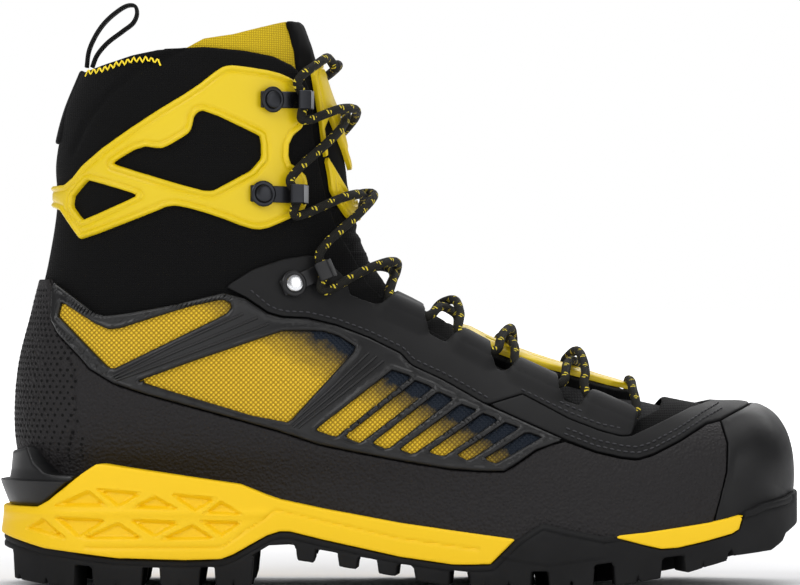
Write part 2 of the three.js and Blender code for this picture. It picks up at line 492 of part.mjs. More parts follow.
// The upper's outer pieces.
const sideOf = (side) => (side < 0 ? [-120, 0.5] : [0.5, 120]);
const panel = (outline, from, thickness, side) =>
  largest(layer(from, thickness).intersect(bar(outline, ...sideOf(side))));
const perimeter = column(innerSole, -10, 60);
const wrap = (outline) => largest(layer(gap, overlayThickness).intersect(bar(outline)).subtract(perimeter));
const rand = wrap(randOutline);
const toeCap = wrap(toeCapOutline);
const vampStrip = largest(layer(gap, overlayThickness).intersect(bar(vampStripOutline)));
const meshThickness = 0.7;
const sideMesh = (side) => panel(meshOutline, gap, meshThickness, side);
const sideCage = (side) => {
  const plate = layer(gap + meshThickness + gap, cageThickness).intersect(bar(sideCageOutline, ...sideOf(side)));
  return largest(windows.reduce((left, outline) => left.subtract(bar(outline)), plate));
};
const facing = (side) => {
  let solid = panel(facingOutline, gap, overlayThickness, side);
  for (const { rear, front } of tunnels) {
    const [a, b] = [waypoint(rear, side, tunnelDepth), waypoint(front, side, tunnelDepth)];
    const inside = [0.06, 0.5, 0.94].map((t) => toSpace(a.clone().lerp(b, t)));
    solid = solid.add(tube(inside, laceRadius + 1.5, 2, 6));
  }
  return drill(largest(solid.subtract(body(gap)).subtract(laceWay)));
};
const ankleCage = drill(largest(ankleCageHoles.reduce(
  (left, outline) => left.subtract(bar(outline)),
  layer(gap, cageThickness).intersect(bar(ankleCageOutline)),
)));
const backTape = largest(layer(gap, 1.2).intersect(bar([[-170, 171], [-100, 171], [-100, 199.3], [-170, 199.3]], -9, 9)));
const loopPath = [[-122, 200.9], [-121.2, 207], [-119, 212.4], [-115.6, 217.6], [-111, 222], [-106, 225.4], [-103.2, 224.8],
  [-102.4, 222], [-103.8, 218.4], [-108, 215], [-114, 210.4], [-118, 205.6], [-119.9, 200.9]];
const pullLoop = bar(ribbon(loopPath, webbingThickness), -webbingWidth / 2, webbingWidth / 2);

// The sole unit.
const midsoleSide = [[-153, 31.2], [-139.6, 31.2], [-134.9, 33.7], [-132.2, 35.9], [-121.7, 44.1], [-116.2, 47.7],
  [-113, 47.7], [-78, 42.5], [-60.8, 40], [-50.7, 35.9], [-46, 34.3], [-29.6, 30.8], [0, 25.4], [21.8, 22.4],
  [43.7, 19.5], [34.3, 10.1], [27.7, 9.8], [19.9, 9.8], [0, 12.6], [-29.6, 19.1], [-42.1, 22.2], [-46, 22.2], [-50.7, 20.7],
  [-63.6, 13.5], [-68.3, 11.7], [-81.9, 11.3], [-108.4, 12.1], [-136, 15.6], [-154, 20.7]];
const coreBottom = [[10, 11.4], [27, 10.1], [56, 10.9], [78, 14.1], [99.5, 16.1], [111, 17.3], [123, 20], [133, 24],
  [144, 31], [147, 34]];
const coreTop = [[133, 29.2], [119, 25.7], [94, 22.2], [78, 20.2], [65, 22.6], [54, 25], [44, 19], [10, 23.6]];
const forefootWindow = [[82, 20.9], [94.4, 22.2], [119, 25.7], [131.6, 28.6], [129.9, 23], [127, 21.3], [114.7, 18.2],
  [105.7, 16.3], [99.5, 15.9], [94.4, 17]];
const ledgeSide = [[-154, 52], [-147, 54], [-143.5, 47.6], [-138.5, 44.1], [-133.8, 43.3], [-124.4, 43.3], [-131.7, 37.5],
  [-135.4, 34.4], [-139.8, 31.5], [-158, 31.5], [-158, 41], [-154, 42]];
const outsoleSide = [[-155, 20.3], [-136, 15.2], [-108.4, 11.7], [-81.9, 10.9], [-68, 11.3], [-63.6, 13.1], [-50.7, 20.3],
  [-46, 21.8], [-42, 21.8], [-29.6, 18.7], [0, 12.2], [19.9, 9.4], [27.7, 9.4], [34.5, 9.7], [43.9, 19.1], [53.8, 25.6],
  [64.7, 23], [78, 20.5], [94.4, 22.7], [119, 26.2], [132.6, 29.6], [135.4, 30.4], [140, 32.4], [149.8, 34.3],
  [156, 37.4], [158, 25.7], [149, 20.7], [147.4, 17.6], [143, 14.6], [128, 12.9], [126.5, 16], [111.2, 13.7],
  [99.5, 12.5], [78, 10.5], [55.8, 7.4], [25, 7], [0, 9.8], [-42, 17.2], [-50, 16.8], [-59, 11.4], [-67, 8.7],
  [-82, 8.2], [-116, 8.6], [-134, 10.2], [-151, 14.5]];
const lugs = [
  { x: [-150, -124], z: [3.2, 0], top: 16, y: [[-60, -9], [9, 60]] },
  { x: [-118, -98], z: [0, 0], top: 11, y: [[-60, -20], [-13, 13], [20, 60]] },
  { x: [-92, -76], z: [0, 0], top: 11, y: [[-60, -20], [20, 60]] },
  { x: [-71, -56], z: [0, 1], top: 12, y: [[-60, -22], [-14, 14], [22, 60]] },
  { x: [-40, -32], z: [11, 10], top: 18, y: [[-60, 60]] },
  { x: [-24, -16], z: [8.6, 7.6], top: 14, y: [[-60, 60]] },
  { x: [-9, -1], z: [6, 5], top: 12, y: [[-60, 60]] },
  { x: [5, 19], z: [3.6, 1.4], top: 10, y: [[-60, -20], [-13, 13], [20, 60]] },
  { x: [26, 50], z: [0, 0], top: 9, y: [[-60, -24], [24, 60]] },
  { x: [32, 44], z: [0, 0], top: 9, y: [[-17, 17]] },
  { x: [56, 74], z: [0, 0.8], top: 10, y: [[-60, -24], [24, 60]] },
  { x: [52, 64], z: [0, 0.4], top: 9, y: [[-17, 17]] },
  { x: [81, 100], z: [1.6, 4.6], top: 14, y: [[-60, -22], [22, 60]] },
  { x: [72, 86], z: [1, 2.6], top: 12, y: [[-15, 15]] },
  { x: [108, 126], z: [6.4, 11], top: 17, y: [[-60, -18], [20, 60]] },
  { x: [96, 112], z: [4.4, 7.4], top: 15, y: [[-12, 14]] },
  { x: [120, 134], z: [9, 12.6], top: 18, y: [[-10, 12]] },
];
const lugSolid = ({ x: [a, b], z: [za, zb], top }, [from, to]) =>
  bar([[a, top], [a + 0.8, za], [b - 0.8, zb], [b, top]], from * scaleY, to * scaleY);
const soleColumn = column(solePlan, -10, 70);
const upperClear = body(gap + overlayThickness + gap);
const bedClear = upperClear.subtract(upperClear.subtract(body(gap)).intersect(column(shrink(solePlan, 14.7), -10, 60)));
const shankPlan = scalePlan([[-100, -13], [-60, -11], [-20, -13], [30, -18], [62, -18], [62, 20], [30, 20], [-20, 14],
  [-60, 11], [-100, 13]]);
const shank = largest(layer(gap, shankThickness).intersect(column(shankPlan, -10, 60)));
const shankPocket = upperClear.intersect(column(shrink(shankPlan, -gap), -10, 60))
  .add(layer(0, shankThickness + 2 * gap).intersect(column(shrink(shankPlan, -gap), -10, 60)));
const core = bar([...coreBottom, ...coreTop]).intersect(column(shrink(solePlan, outsoleThickness + 1.2), -10, 70));
const midsole = largest(bar(midsoleSide).add(core).intersect(soleColumn)
  .add(bar(forefootWindow).intersect(column(shrink(solePlan, 1), -10, 70)))
  .subtract(bedClear).subtract(shankPocket));
const ledge = largest(bar(ledgeSide).intersect(column(shrink(solePlan, -1), -10, 70)).subtract(upperClear));
const coreSpace = bar([...coreBottom.map(([x, z]) => [x, z - 0.4]), [147.4, 60], [9.6, 60]])
  .intersect(column(shrink(solePlan, outsoleThickness + 0.8), -10, 70));
const windowSpace = bar([[80.2, 20.4], [80.8, 21.3], [94.4, 22.7], [119, 26.1], [132.6, 29.3], [130.3, 22.8], [127.2, 20.9], [114.7, 17.8],
  [105.7, 15.9], [99.5, 15.5], [94.2, 16.6]]);
const lugUnion = lugs.flatMap((lug) => lug.y.map((band) => lugSolid(lug, band))).reduce((a, b) => a.add(b));
const outsole = largest(bar(outsoleSide).add(lugUnion).subtract(bar(midsoleSide.map(([x, z]) => [x, z - 0.4])))
  .subtract(coreSpace).subtract(windowSpace).subtract(upperClear).intersect(soleColumn));

// Finishes, and the pieces themselves.
const finish = (color, roughness, metalness = 0) => new THREE.MeshStandardMaterial({ color, roughness, metalness });
const finishes = {
  rubber: finish(0x1a1a1b, 0.8),
  yellowFoam: finish(0xf2cd10, 0.55),
  yellowPlastic: finish(0xe3c81e, 0.45),
  blackPlastic: finish(0x26262a, 0.5),
  softFabric: finish(0x101011, 0.9),
  randRubber: finish(0x2e2b2c, 0.75),
  mesh: finish(0xd2ac2c, 0.85),
  facing: finish(0x1c1c20, 0.7),
  lining: finish(0x3a3a3c, 0.95),
  foam: finish(0x55555a, 0.95),
  board: finish(0x8d7b5a, 0.9),
  composite: finish(0x303236, 0.6),
  gunmetal: finish(0x3c3d40, 0.35, 0.9),
  steel: finish(0xc8c8c8, 0.3, 1),
  lace: finish(0x1e1d18, 0.85),
};
const group = new THREE.Group();
group.name = 'mountaineering_boot';
function addPiece(name, solid, material) {
  const mesh = new THREE.Mesh(geometryOf(solid), finishes[material]);
  mesh.name = name;
  group.add(mesh);
}
addPiece('outsole', outsole, 'rubber');
addPiece('midsole', midsole, 'yellowFoam');
addPiece('heel_crampon_ledge', ledge, 'blackPlastic');
addPiece('shank_plate', shank, 'composite');
addPiece('insole_board', largest(insoleBoard), 'board');
addPiece('footbed', largest(footbed), 'foam');
addPiece('heel_stiffener', largest(heelStiffener), 'composite');
addPiece('toe_puff', toePuff, 'composite');
addPiece('lining_bootie', largest(lining), 'lining');
addPiece('collar_padding', largest(collarPad), 'foam');
addPiece('softshell_upper', drill(largest(softshell)), 'softFabric');
addPiece('rand', rand, 'randRubber');
addPiece('toe_cap', toeCap, 'rubber');
addPiece('vamp_strip', vampStrip, 'facing');
addPiece('ankle_cage', ankleCage, 'yellowPlastic');
addPiece('tongue_upper', tongueUpper, 'softFabric');
addPiece('tongue_upper_plate', tonguePlate, 'yellowPlastic');
addPiece('tongue_lower', tongueLower, 'softFabric');
addPiece('tongue_lower_plate', lowerPlate, 'yellowPlastic');
addPiece('back_tape', backTape, 'facing');
addPiece('pull_loop', pullLoop, 'facing');
addPiece('lace', lace, 'lace');
addPiece('lace_aglet_outer', aglet(lacePath[0], lacePath[1]), 'blackPlastic');
addPiece('lace_aglet_inner', aglet(lacePath[pathEnd], lacePath[pathEnd - 1]), 'blackPlastic');
for (const [suffix, side] of [['lateral', OUTER], ['medial', INNER]]) {
  addPiece(`side_mesh_${suffix}`, sideMesh(side), 'mesh');
  addPiece(`side_cage_${suffix}`, sideCage(side), 'blackPlastic');
  addPiece(`lace_facing_${suffix}`, facing(side), 'facing');
  for (const hook of hooks) {
    addPiece(`${hook.name}_${suffix}`, hookSolid(hook, side), 'gunmetal');
    addPiece(`${hook.name}_rivet_${suffix}`, rivetSolid(hook, side), 'steel');
  }
}

// The origin sits on the ground under the middle of the whole boot.
const box = new THREE.Box3().setFromObject(group);
const middle = box.getCenter(new THREE.Vector3());
for (const mesh of group.children) mesh.geometry.translate(-middle.x, -middle.y, -box.min.z);

export default group;
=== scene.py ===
import math

import bmesh
import bpy
import numpy as np
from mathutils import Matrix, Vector


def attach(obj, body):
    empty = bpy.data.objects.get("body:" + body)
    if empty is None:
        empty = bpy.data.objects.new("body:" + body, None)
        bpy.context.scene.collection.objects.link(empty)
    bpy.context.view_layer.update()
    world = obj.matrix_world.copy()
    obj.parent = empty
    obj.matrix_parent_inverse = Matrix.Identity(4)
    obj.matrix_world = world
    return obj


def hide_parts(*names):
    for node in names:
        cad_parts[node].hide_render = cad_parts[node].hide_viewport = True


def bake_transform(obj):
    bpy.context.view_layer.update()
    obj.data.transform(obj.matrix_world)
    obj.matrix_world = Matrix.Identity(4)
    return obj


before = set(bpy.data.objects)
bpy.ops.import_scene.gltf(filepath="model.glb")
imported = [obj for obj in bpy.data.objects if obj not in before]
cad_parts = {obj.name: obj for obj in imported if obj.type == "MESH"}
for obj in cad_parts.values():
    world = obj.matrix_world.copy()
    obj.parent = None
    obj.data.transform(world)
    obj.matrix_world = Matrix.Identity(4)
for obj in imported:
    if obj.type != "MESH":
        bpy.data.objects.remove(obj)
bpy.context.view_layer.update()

mm = 0.001
fullTurn = 2 * math.pi
# The pattern below is drawn in millimetres; the frame's origin lies this far from the pattern's.
patternShift = np.array([0.25, 1.4, 0.0])
outer, inner = -1, 1
both = (outer, inner)
sideName = {outer: "lateral", inner: "medial"}


# sRGB hex to linear.
def rgb(value):
    parts = [int(value[i:i + 2], 16) / 255 for i in (1, 3, 5)]
    return [p / 12.92 if p <= 0.04045 else ((p + 0.055) / 1.055) ** 2.4 for p in parts] + [1.0]


# Adds a node with its settings; an input is a value, a socket, or a node whose first output is linked.
def addNode(tree, kind, inputs=None, **settings):
    node = tree.nodes.new(kind)
    for key, value in settings.items():
        setattr(node, key, value)
    for key, value in (inputs or {}).items():
        if isinstance(value, bpy.types.Node):
            value = value.outputs[0]
        if isinstance(value, bpy.types.NodeSocket):
            tree.links.new(value, node.inputs[key])
        else:
            node.inputs[key].default_value = value
    return node


# A surface gives its height, that height's depth in millimetres, and what else it drives.
def makeMaterial(name, color, roughness, values, surface=None):
    material = bpy.data.materials.new(name)
    material.use_nodes = True
    tree = material.node_tree
    shader = tree.nodes["Principled BSDF"]
    for key, value in {"Base Color": rgb(color), "Roughness": roughness, **values}.items():
        shader.inputs[key].default_value = value
    if surface:
        height, depth, driven = surface(tree, roughness)
        bump = addNode(tree, "ShaderNodeBump", {"Height": height, "Distance": depth * mm, "Strength": 1.0})
        for key, source in {"Normal": bump.outputs["Normal"], **driven}.items():
            tree.links.new(source, shader.inputs[key])
    return material


# Fine moulded grain of that size and depth; wear varies the gloss over patches about 2 cm wide.
def mouldedGrain(size, depth, wear=0.0):
    def surface(tree, roughness):
        place = addNode(tree, "ShaderNodeTexCoord").outputs["Object"]
        grain = addNode(tree, "ShaderNodeTexNoise", {"Vector": place, "Scale": 1 / (size * mm),
                                                     "Detail": 3.0})
        if not wear:
            return grain, depth, {}
        patches = addNode(tree, "ShaderNodeTexNoise", {"Vector": place, "Scale": 1 / (18.18 * mm),
                                                       "Detail": 4.0})
        gloss = addNode(tree, "ShaderNodeMapRange", {"Value": patches, "From Min": 0.3, "From Max": 0.7,
                                                     "To Min": roughness - wear, "To Max": roughness + wear})
        return grain, depth, {"Roughness": gloss.outputs["Result"]}
    return surface


# Rounded pebbles with creases between them.
def pebbledRubber(size, depth):
    def surface(tree, roughness):
        place = addNode(tree, "ShaderNodeTexCoord").outputs["Object"]
        cells = addNode(tree, "ShaderNodeTexVoronoi", {"Vector": place, "Scale": 1 / (size * mm)},
                        feature="SMOOTH_F1")
        return addNode(tree, "ShaderNodeMath", {0: 1.0, 1: cells}, operation="SUBTRACT"), depth, {}
    return surface


# Crossed yarns of that pitch; where the yarns dip between each other the colour darkens to the gap colour,
# painted shade.
def wovenCloth(pitch, depth, yarn, gap):
    def surface(tree, roughness):
        uv = addNode(tree, "ShaderNodeTexCoord").outputs["UV"]
        turns = addNode(tree, "ShaderNodeVectorMath", {0: uv, "Scale": math.pi / (pitch * mm)},
                        operation="SCALE")
        waves = addNode(tree, "ShaderNodeVectorMath", {0: turns}, operation="SINE")
        along, across = addNode(tree, "ShaderNodeSeparateXYZ", {0: waves}).outputs[:2]
        knots = addNode(tree, "ShaderNodeMath", {0: along, 1: across}, operation="MULTIPLY")
        lift = addNode(tree, "ShaderNodeMath", {0: knots}, operation="ABSOLUTE")
        # Painted shade: the low points of the weave take the darker gap colour.
        color = addNode(tree, "ShaderNodeMix", {"Factor": lift, 6: rgb(gap), 7: rgb(yarn)}, data_type="RGBA")
        return lift, depth, {"Base Color": color.outputs[2]}
    return surface


# Yarns that cross on the slant, as in a braid; turns are radians a metre along u and v.
def braidLift(tree, uv, turns):
    scaled = addNode(tree, "ShaderNodeVectorMath", {0: uv, 1: turns}, operation="MULTIPLY")
    waves = addNode(tree, "ShaderNodeVectorMath", {0: scaled}, operation="COSINE")
    along, across = addNode(tree, "ShaderNodeSeparateXYZ", {0: waves}).outputs[:2]
    gap = addNode(tree, "ShaderNodeMath", {0: across, 1: along}, operation="SUBTRACT")
    half = addNode(tree, "ShaderNodeMath", {0: gap, 1: 0.5}, operation="MULTIPLY")
    return addNode(tree, "ShaderNodeMath", {0: half}, operation="ABSOLUTE")


# The gap colour is painted shade between the yarns; the upper colour is the navy dye.
meshWeave = {"pitch": 1.9, "depth": 0.35, "yarn": "#efc832", "gap": "#96730f", "upper": "#0c1622",
             "fadeFrom": 64, "fadeTo": 81, "fadeSlope": 0.6, "ragged": 8.0, "raggedSize": 3.846}


# The yarns turn navy towards the top, along a ragged line that climbs towards the heel.
def sideMeshWeave(tree, roughness):
    uv = addNode(tree, "ShaderNodeTexCoord").outputs["UV"]
    turn = fullTurn / (meshWeave["pitch"] * mm)
    lift = braidLift(tree, uv, (turn, turn, 0))
    # Painted shade: where the braid dips, the yarns take the darker gap colour.
    yarn = addNode(tree, "ShaderNodeMix", {"Factor": lift, 6: rgb(meshWeave["gap"]),
                                           7: rgb(meshWeave["yarn"])}, data_type="RGBA")
    clouds = addNode(tree, "ShaderNodeTexNoise", {"Vector": uv, "Scale": 1 / (meshWeave["raggedSize"] * mm),
                                                  "Detail": 4.0})
    x, z = addNode(tree, "ShaderNodeSeparateXYZ", {0: uv}).outputs[:2]
    height = addNode(tree, "ShaderNodeMath", {0: x, 1: meshWeave["fadeSlope"], 2: z},
                     operation="MULTIPLY_ADD")
    ragged = addNode(tree, "ShaderNodeMath", {0: clouds, 1: meshWeave["ragged"] * mm, 2: height},
                     operation="MULTIPLY_ADD")
    fade = addNode(tree, "ShaderNodeMapRange", {"Value": ragged, "From Min": meshWeave["fadeFrom"] * mm,
                                                "From Max": meshWeave["fadeTo"] * mm})
    color = addNode(tree, "ShaderNodeMix", {"Factor": fade, 6: yarn.outputs[2], 7: rgb(meshWeave["upper"])},
                    data_type="RGBA")
    return lift, meshWeave["depth"], {"Base Color": color.outputs[2]}


# Marks show where all three bands cross: each is a length along the cord, its turns round it and a threshold.
laceBraid = {"cord": "#15140f", "mark": "#d9c436", "depth": 0.25, "strand": 1.3, "strandsRound": 4,
             "bands": [(8, 1, 0.25), (1.5, 1, 0.2), (-8, 2, 0.35)]}


# Braided cord: u runs along it, v round it, a millimetre for each turn.
def braidedLace(tree, roughness):
    uv = addNode(tree, "ShaderNodeTexCoord").outputs["UV"]
    run, around = addNode(tree, "ShaderNodeSeparateXYZ", {0: uv}).outputs[:2]
    marks = 1.0
    for length, turns, threshold in laceBraid["bands"]:
        lean = addNode(tree, "ShaderNodeMath", {0: around, 1: turns * fullTurn / mm}, operation="MULTIPLY")
        phase = addNode(tree, "ShaderNodeMath", {0: run, 1: fullTurn / (length * mm), 2: lean},
                        operation="MULTIPLY_ADD")
        wave = addNode(tree, "ShaderNodeMath", {0: phase}, operation="SINE")
        band = addNode(tree, "ShaderNodeMath", {0: wave, 1: threshold}, operation="GREATER_THAN")
        marks = addNode(tree, "ShaderNodeMath", {0: marks, 1: band}, operation="MULTIPLY")
    strands = (2 * fullTurn / (laceBraid["strand"] * mm), 2 * laceBraid["strandsRound"] * fullTurn / mm, 0)
    color = addNode(tree, "ShaderNodeMix", {"Factor": marks, 6: rgb(laceBraid["cord"]),
                                            7: rgb(laceBraid["mark"])}, data_type="RGBA")
    return braidLift(tree, uv, strands), laceBraid["depth"], {"Base Color": color.outputs[2]}


# Each finish has a colour, a roughness, shader values and a surface, under a note of what that gives the eye.
# Dark rubbers and cloths scatter little, so their specular level is low. Real threads lie about 0.5 mm apart,
# and the mesh's 1 mm; the weaves are drawn about twice as coarse, because finer ones would not show.
dull = {"Specular IOR Level": 0.25}
satin = {"Specular IOR Level": 0.35}
brushed = {"Specular IOR Level": 0.15, "Sheen Weight": 0.05}
finishPlan = {
    # Moulded carbon-black rubber: nearly matt, grained, a little glossier where it is worn.
    "soleRubber": ("#0e0e0f", 0.7, dull, mouldedGrain(0.5, 0.05, 0.08)),
    # The same rubber moulded smoother: a broad soft highlight rounds off the toe.
    "toeRubber": ("#0d0d0e", 0.5, dull, mouldedGrain(0.35, 0.05, 0.1)),
    # Rolled rubber sheet with a pebbled face: broken, leathery highlights.
    "randRubber": ("#1a1819", 0.62, dull, pebbledRubber(1.1, 0.6)),
    # Moulded foam with a closed skin: deep warm yellow, hardly shiny.
    "midsoleFoam": ("#efc303", 0.5, satin, mouldedGrain(0.6, 0.03, 0.06)),
    # Injection-moulded polyurethane: clear lemon yellow with soft highlights.
    "yellowPlastic": ("#d3b607", 0.42, satin, mouldedGrain(0.3, 0.012, 0.07)),
    # The same in black: thin bright lines along its edges.
    "blackPlastic": ("#0c0c0d", 0.38, {"Specular IOR Level": 0.4}, mouldedGrain(0.3, 0.02, 0.08)),
    # Stretch-woven nylon: deep black that takes the light in, woven close up.
    "softshell": ("#060606", 0.88, {"Specular IOR Level": 0.14}, wovenCloth(0.9, 0.12, "#080809", "#040404")),
    # Brushed knit over the collar's padding: softer and a touch lighter than the softshell.
    "collarFabric": ("#080809", 0.92, brushed, wovenCloth(1.0, 0.12, "#0c0c0d", "#050505")),
    # Woven polyester lining: dull charcoal inside the boot.
    "liningFabric": ("#19191b", 0.95, brushed, wovenCloth(1.1, 0.15, "#1f1f21", "#141415")),
    # The same lining dyed yellow: a flat, warm colour above the collar.
    "yellowLining": ("#c3a616", 0.85, dull, wovenCloth(0.9, 0.12, "#cfb21b", "#a0850b")),
    # Open woven nylon mesh: yellow yarns with painted shade in the gaps between them, navy towards the top.
    "sideMesh": ("#d9b62f", 0.7, dull, sideMeshWeave),
    # Pressed synthetic suede: matt black with a fine nap.
    "microfibre": ("#0b0b0c", 0.62, dull, mouldedGrain(0.4, 0.06, 0.05)),
    # Woven nylon webbing: a plain black strap with a visible weave.
    "webbing": ("#0b0b0c", 0.85, dull, wovenCloth(0.9, 0.15, "#111112", "#070707")),
    # Braided polyester cord: black, crossed by short yellow marks.
    "laceCord": ("#0d0c09", 0.8, dull, braidedLace),
    # Shrunk plastic film: glossy black tips.
    "laceTip": ("#0b0b0c", 0.3, {}, mouldedGrain(0.4, 0.01)),
    # Steel where the coating has worn off: a pale edge on the dark hooks.
    "wornMetal": ("#8f9194", 0.38, {"Metallic": 0.7}, mouldedGrain(0.2, 0.01, 0.1)),
    # Blackened steel: dark grey with firm highlights.
    "gunmetal": ("#2c2d30", 0.34, {"Metallic": 0.9}, mouldedGrain(0.15, 0.01, 0.08)),
    # Powder-coated steel: black and only half metallic to look at.
    "hookBlack": ("#0e0e10", 0.4, {"Metallic": 0.35}, mouldedGrain(0.15, 0.01, 0.08)),
    # Nickel-plated steel, tumbled smooth: one bright silver rivet.
    "steel": ("#c9cacc", 0.26, {"Metallic": 1.0}, mouldedGrain(0.2, 0.008, 0.08)),
    # Spun polyester thread, dark grey: the seams just show on black.
    "threadDark": ("#2c2c30", 0.7, {}, mouldedGrain(0.12, 0.02)),
    # The same thread in yellow: a bright zigzag.
    "threadYellow": ("#ecd01c", 0.65, {}, mouldedGrain(0.12, 0.02)),
    # A punched hole that is not cut: a near-black disc on the face, the dark layer beneath seen through it
    # and painted shade inside it.
    "holeShadeBlack": ("#050505", 0.95, dull, mouldedGrain(0.2, 0.02)),
    # Moulded glass-filled nylon, hidden inside: plain grey.
    "composite": ("#303236", 0.55, {}, mouldedGrain(0.5, 0.03)),
    # Pressed fibre board, hidden inside: pale brown and rough.
    "board": ("#8d7b5a", 0.9, {}, mouldedGrain(0.4, 0.05)),
    # Woven footbed cover: mid grey, so that the inside reads as a cavity.
    "footbedCloth": ("#3b3b40", 0.93, {}, wovenCloth(1.2, 0.15, "#45454b", "#2b2b2e")),
}
finishes = {name: makeMaterial(name, *row) for name, row in finishPlan.items()}
print("finishes", len(finishes))

# The upper's surface, in the pattern's millimetres.
# One row per section from the toe to the collar: top x, z; sole x, z; half width outside, inside;
# crest offset, keel offset; height of the widest point; roundness above and below it.
sections = np.array([
    [151.2, 44, 151.2, 40, 1.5, 1.5, 6, 6, 0.5, 2, 2],
    [150.2, 53, 150.2, 33.5, 16, 14, 6, 6, 0.5, 2, 2.1],
    [147.5, 60.5, 147.5, 31, 25, 21, 6, 6, 0.52, 2, 2.3],
    [142.5, 66, 142.5, 29.5, 32.5, 26, 6, 5.5, 0.54, 2.1, 2.4],
    [134, 69, 134, 28.2, 39, 31, 6, 4.5, 0.56, 2.1, 2.5],
    [121, 69.5, 121, 26.5, 43.5, 35.5, 6.5, 3.5, 0.58, 2.1, 2.6],
    [104, 72.5, 105, 24.8, 46.5, 40, 7, 2.5, 0.6, 2.05, 2.6],
    [85, 77, 86, 23.8, 48, 43, 8, 1.5, 0.61, 2, 2.6],
    [67.5, 82.3, 66, 23.5, 48, 44.5, 8.5, 0.5, 0.62, 2, 2.6],
    [49.3, 88.2, 44, 24.3, 46.5, 44, 8.5, 0, 0.62, 2, 2.6],
    [35.8, 93.5, 24, 26, 44.5, 42, 8, 0, 0.62, 2, 2.6],
    [23.2, 99.8, 2, 28.6, 42.5, 40, 7, 0, 0.61, 2, 2.5],
    [10, 107, -24, 31.6, 40.5, 38.5, 6, 0, 0.6, 2, 2.5],
    [-2.5, 114.6, -55, 34.4, 39.3, 37.6, 5, 0, 0.58, 2, 2.5],
    [-9.5, 123, -88, 35.8, 38.6, 37.4, 4, 0, 0.56, 2, 2.5],
    [-14.3, 132, -116, 36, 38.3, 37.6, 3, 0, 0.53, 2, 2.5],
    [-16.6, 139.5, -134, 38, 38.3, 37.8, 2.5, 0, 0.51, 2, 2.4],
    [-18, 147, -143.5, 43.5, 38.3, 38, 2, 0, 0.5, 2, 2.3],
    [-19.3, 155, -147, 53, 38.2, 38, 1.5, 0, 0.5, 2, 2.25],
    [-20.8, 164, -147.9, 68, 38, 38, 1, 0, 0.5, 2, 2.2],
    [-23, 174, -146.3, 86, 37.8, 37.8, 1, 0, 0.5, 2, 2.15],
    [-25.4, 183, -141.3, 106, 37.6, 37.6, 0.5, 0, 0.5, 2.05, 2.15],
    [-28, 190, -136.6, 126, 37.8, 37.8, 0.5, 0, 0.5, 2.1, 2.1],
    [-30, 196, -133.4, 147, 38.4, 38.4, 0, 0, 0.5, 2.1, 2.1],
    [-31.5, 201, -133.8, 164, 39, 39, 0, 0, 0.5, 2.1, 2.1],
    [-33, 206, -130, 182, 39.5, 39.5, 0, 0, 0.5, 2.1, 2.1],
    [-34.5, 211, -122.8, 200, 39.5, 39.5, 0, 0, 0.5, 2.1, 2.1],
    [-37, 218, -117, 216, 38.5, 38.5, 0, 0, 0.5, 2.1, 2.1],
    [-39.5, 225.5, -111, 233, 37.5, 37.5, 0, 0, 0.5, 2.1, 2.1],
])
lastSection = len(sections) - 1


# The cubic from one point to the next that has these slopes at its ends.
def curveBetween(start, end, slopeIn, slopeOut, f):
    rise = end - start
    cubic = slopeIn + slopeOut - 2 * rise
    return start + f * (slopeIn + f * (rise - slopeIn - cubic + f * cubic))


def sectionAt(u):
    u = np.clip(u, 0, lastSection)
    i = np.minimum(np.floor(u).astype(int), lastSection - 1)
    f = (u - i)[:, None]
    row = lambda k: sections[np.clip(k, 0, lastSection)]
    p, q, r, s = row(i - 1), row(i), row(i + 1), row(i + 2)
    return curveBetween(q, r, (r - p) / 2, (s - q) / 2, f)


# Turn 0 is the crest, a quarter turn the outer side, half a turn the sole or heel line.
def upperPoint(u, turn):
    tx, tz, sx, sz, outside, inside, ridge, keel, widest, crown, base = sectionAt(u).T
    c, n = np.cos(turn), np.sin(turn)
    power = np.where(c >= 0, crown, base)
    size = (np.abs(c) ** power + np.abs(n) ** power) ** (-1 / power)
    c, n = np.abs(c) * size * np.sign(c + 1e-12), n * size
    along = np.where(c >= 0, widest * (1 - c), widest - (1 - widest) * c)
    out = np.where(n >= 0, -outside, inside) * np.abs(n)
    return np.stack([tx + (sx - tx) * along, ridge + (keel - ridge) * along + out, tz + (sz - tz) * along], 1)


def upperSurface(u, turn):
    u, turn = np.asarray(u, float), np.asarray(turn, float)
    at = upperPoint(u, turn)
    low, high = np.clip(u - 0.04, 0, lastSection), np.clip(u + 0.04, 0, lastSection)
    du = upperPoint(high, turn) - upperPoint(low, turn)
    dt = upperPoint(u, turn + 0.02) - upperPoint(u, turn - 0.02)
    normal = np.cross(du, dt)
    normal /= np.maximum(np.linalg.norm(normal, axis=1, keepdims=True), 1e-9)
    return at, normal


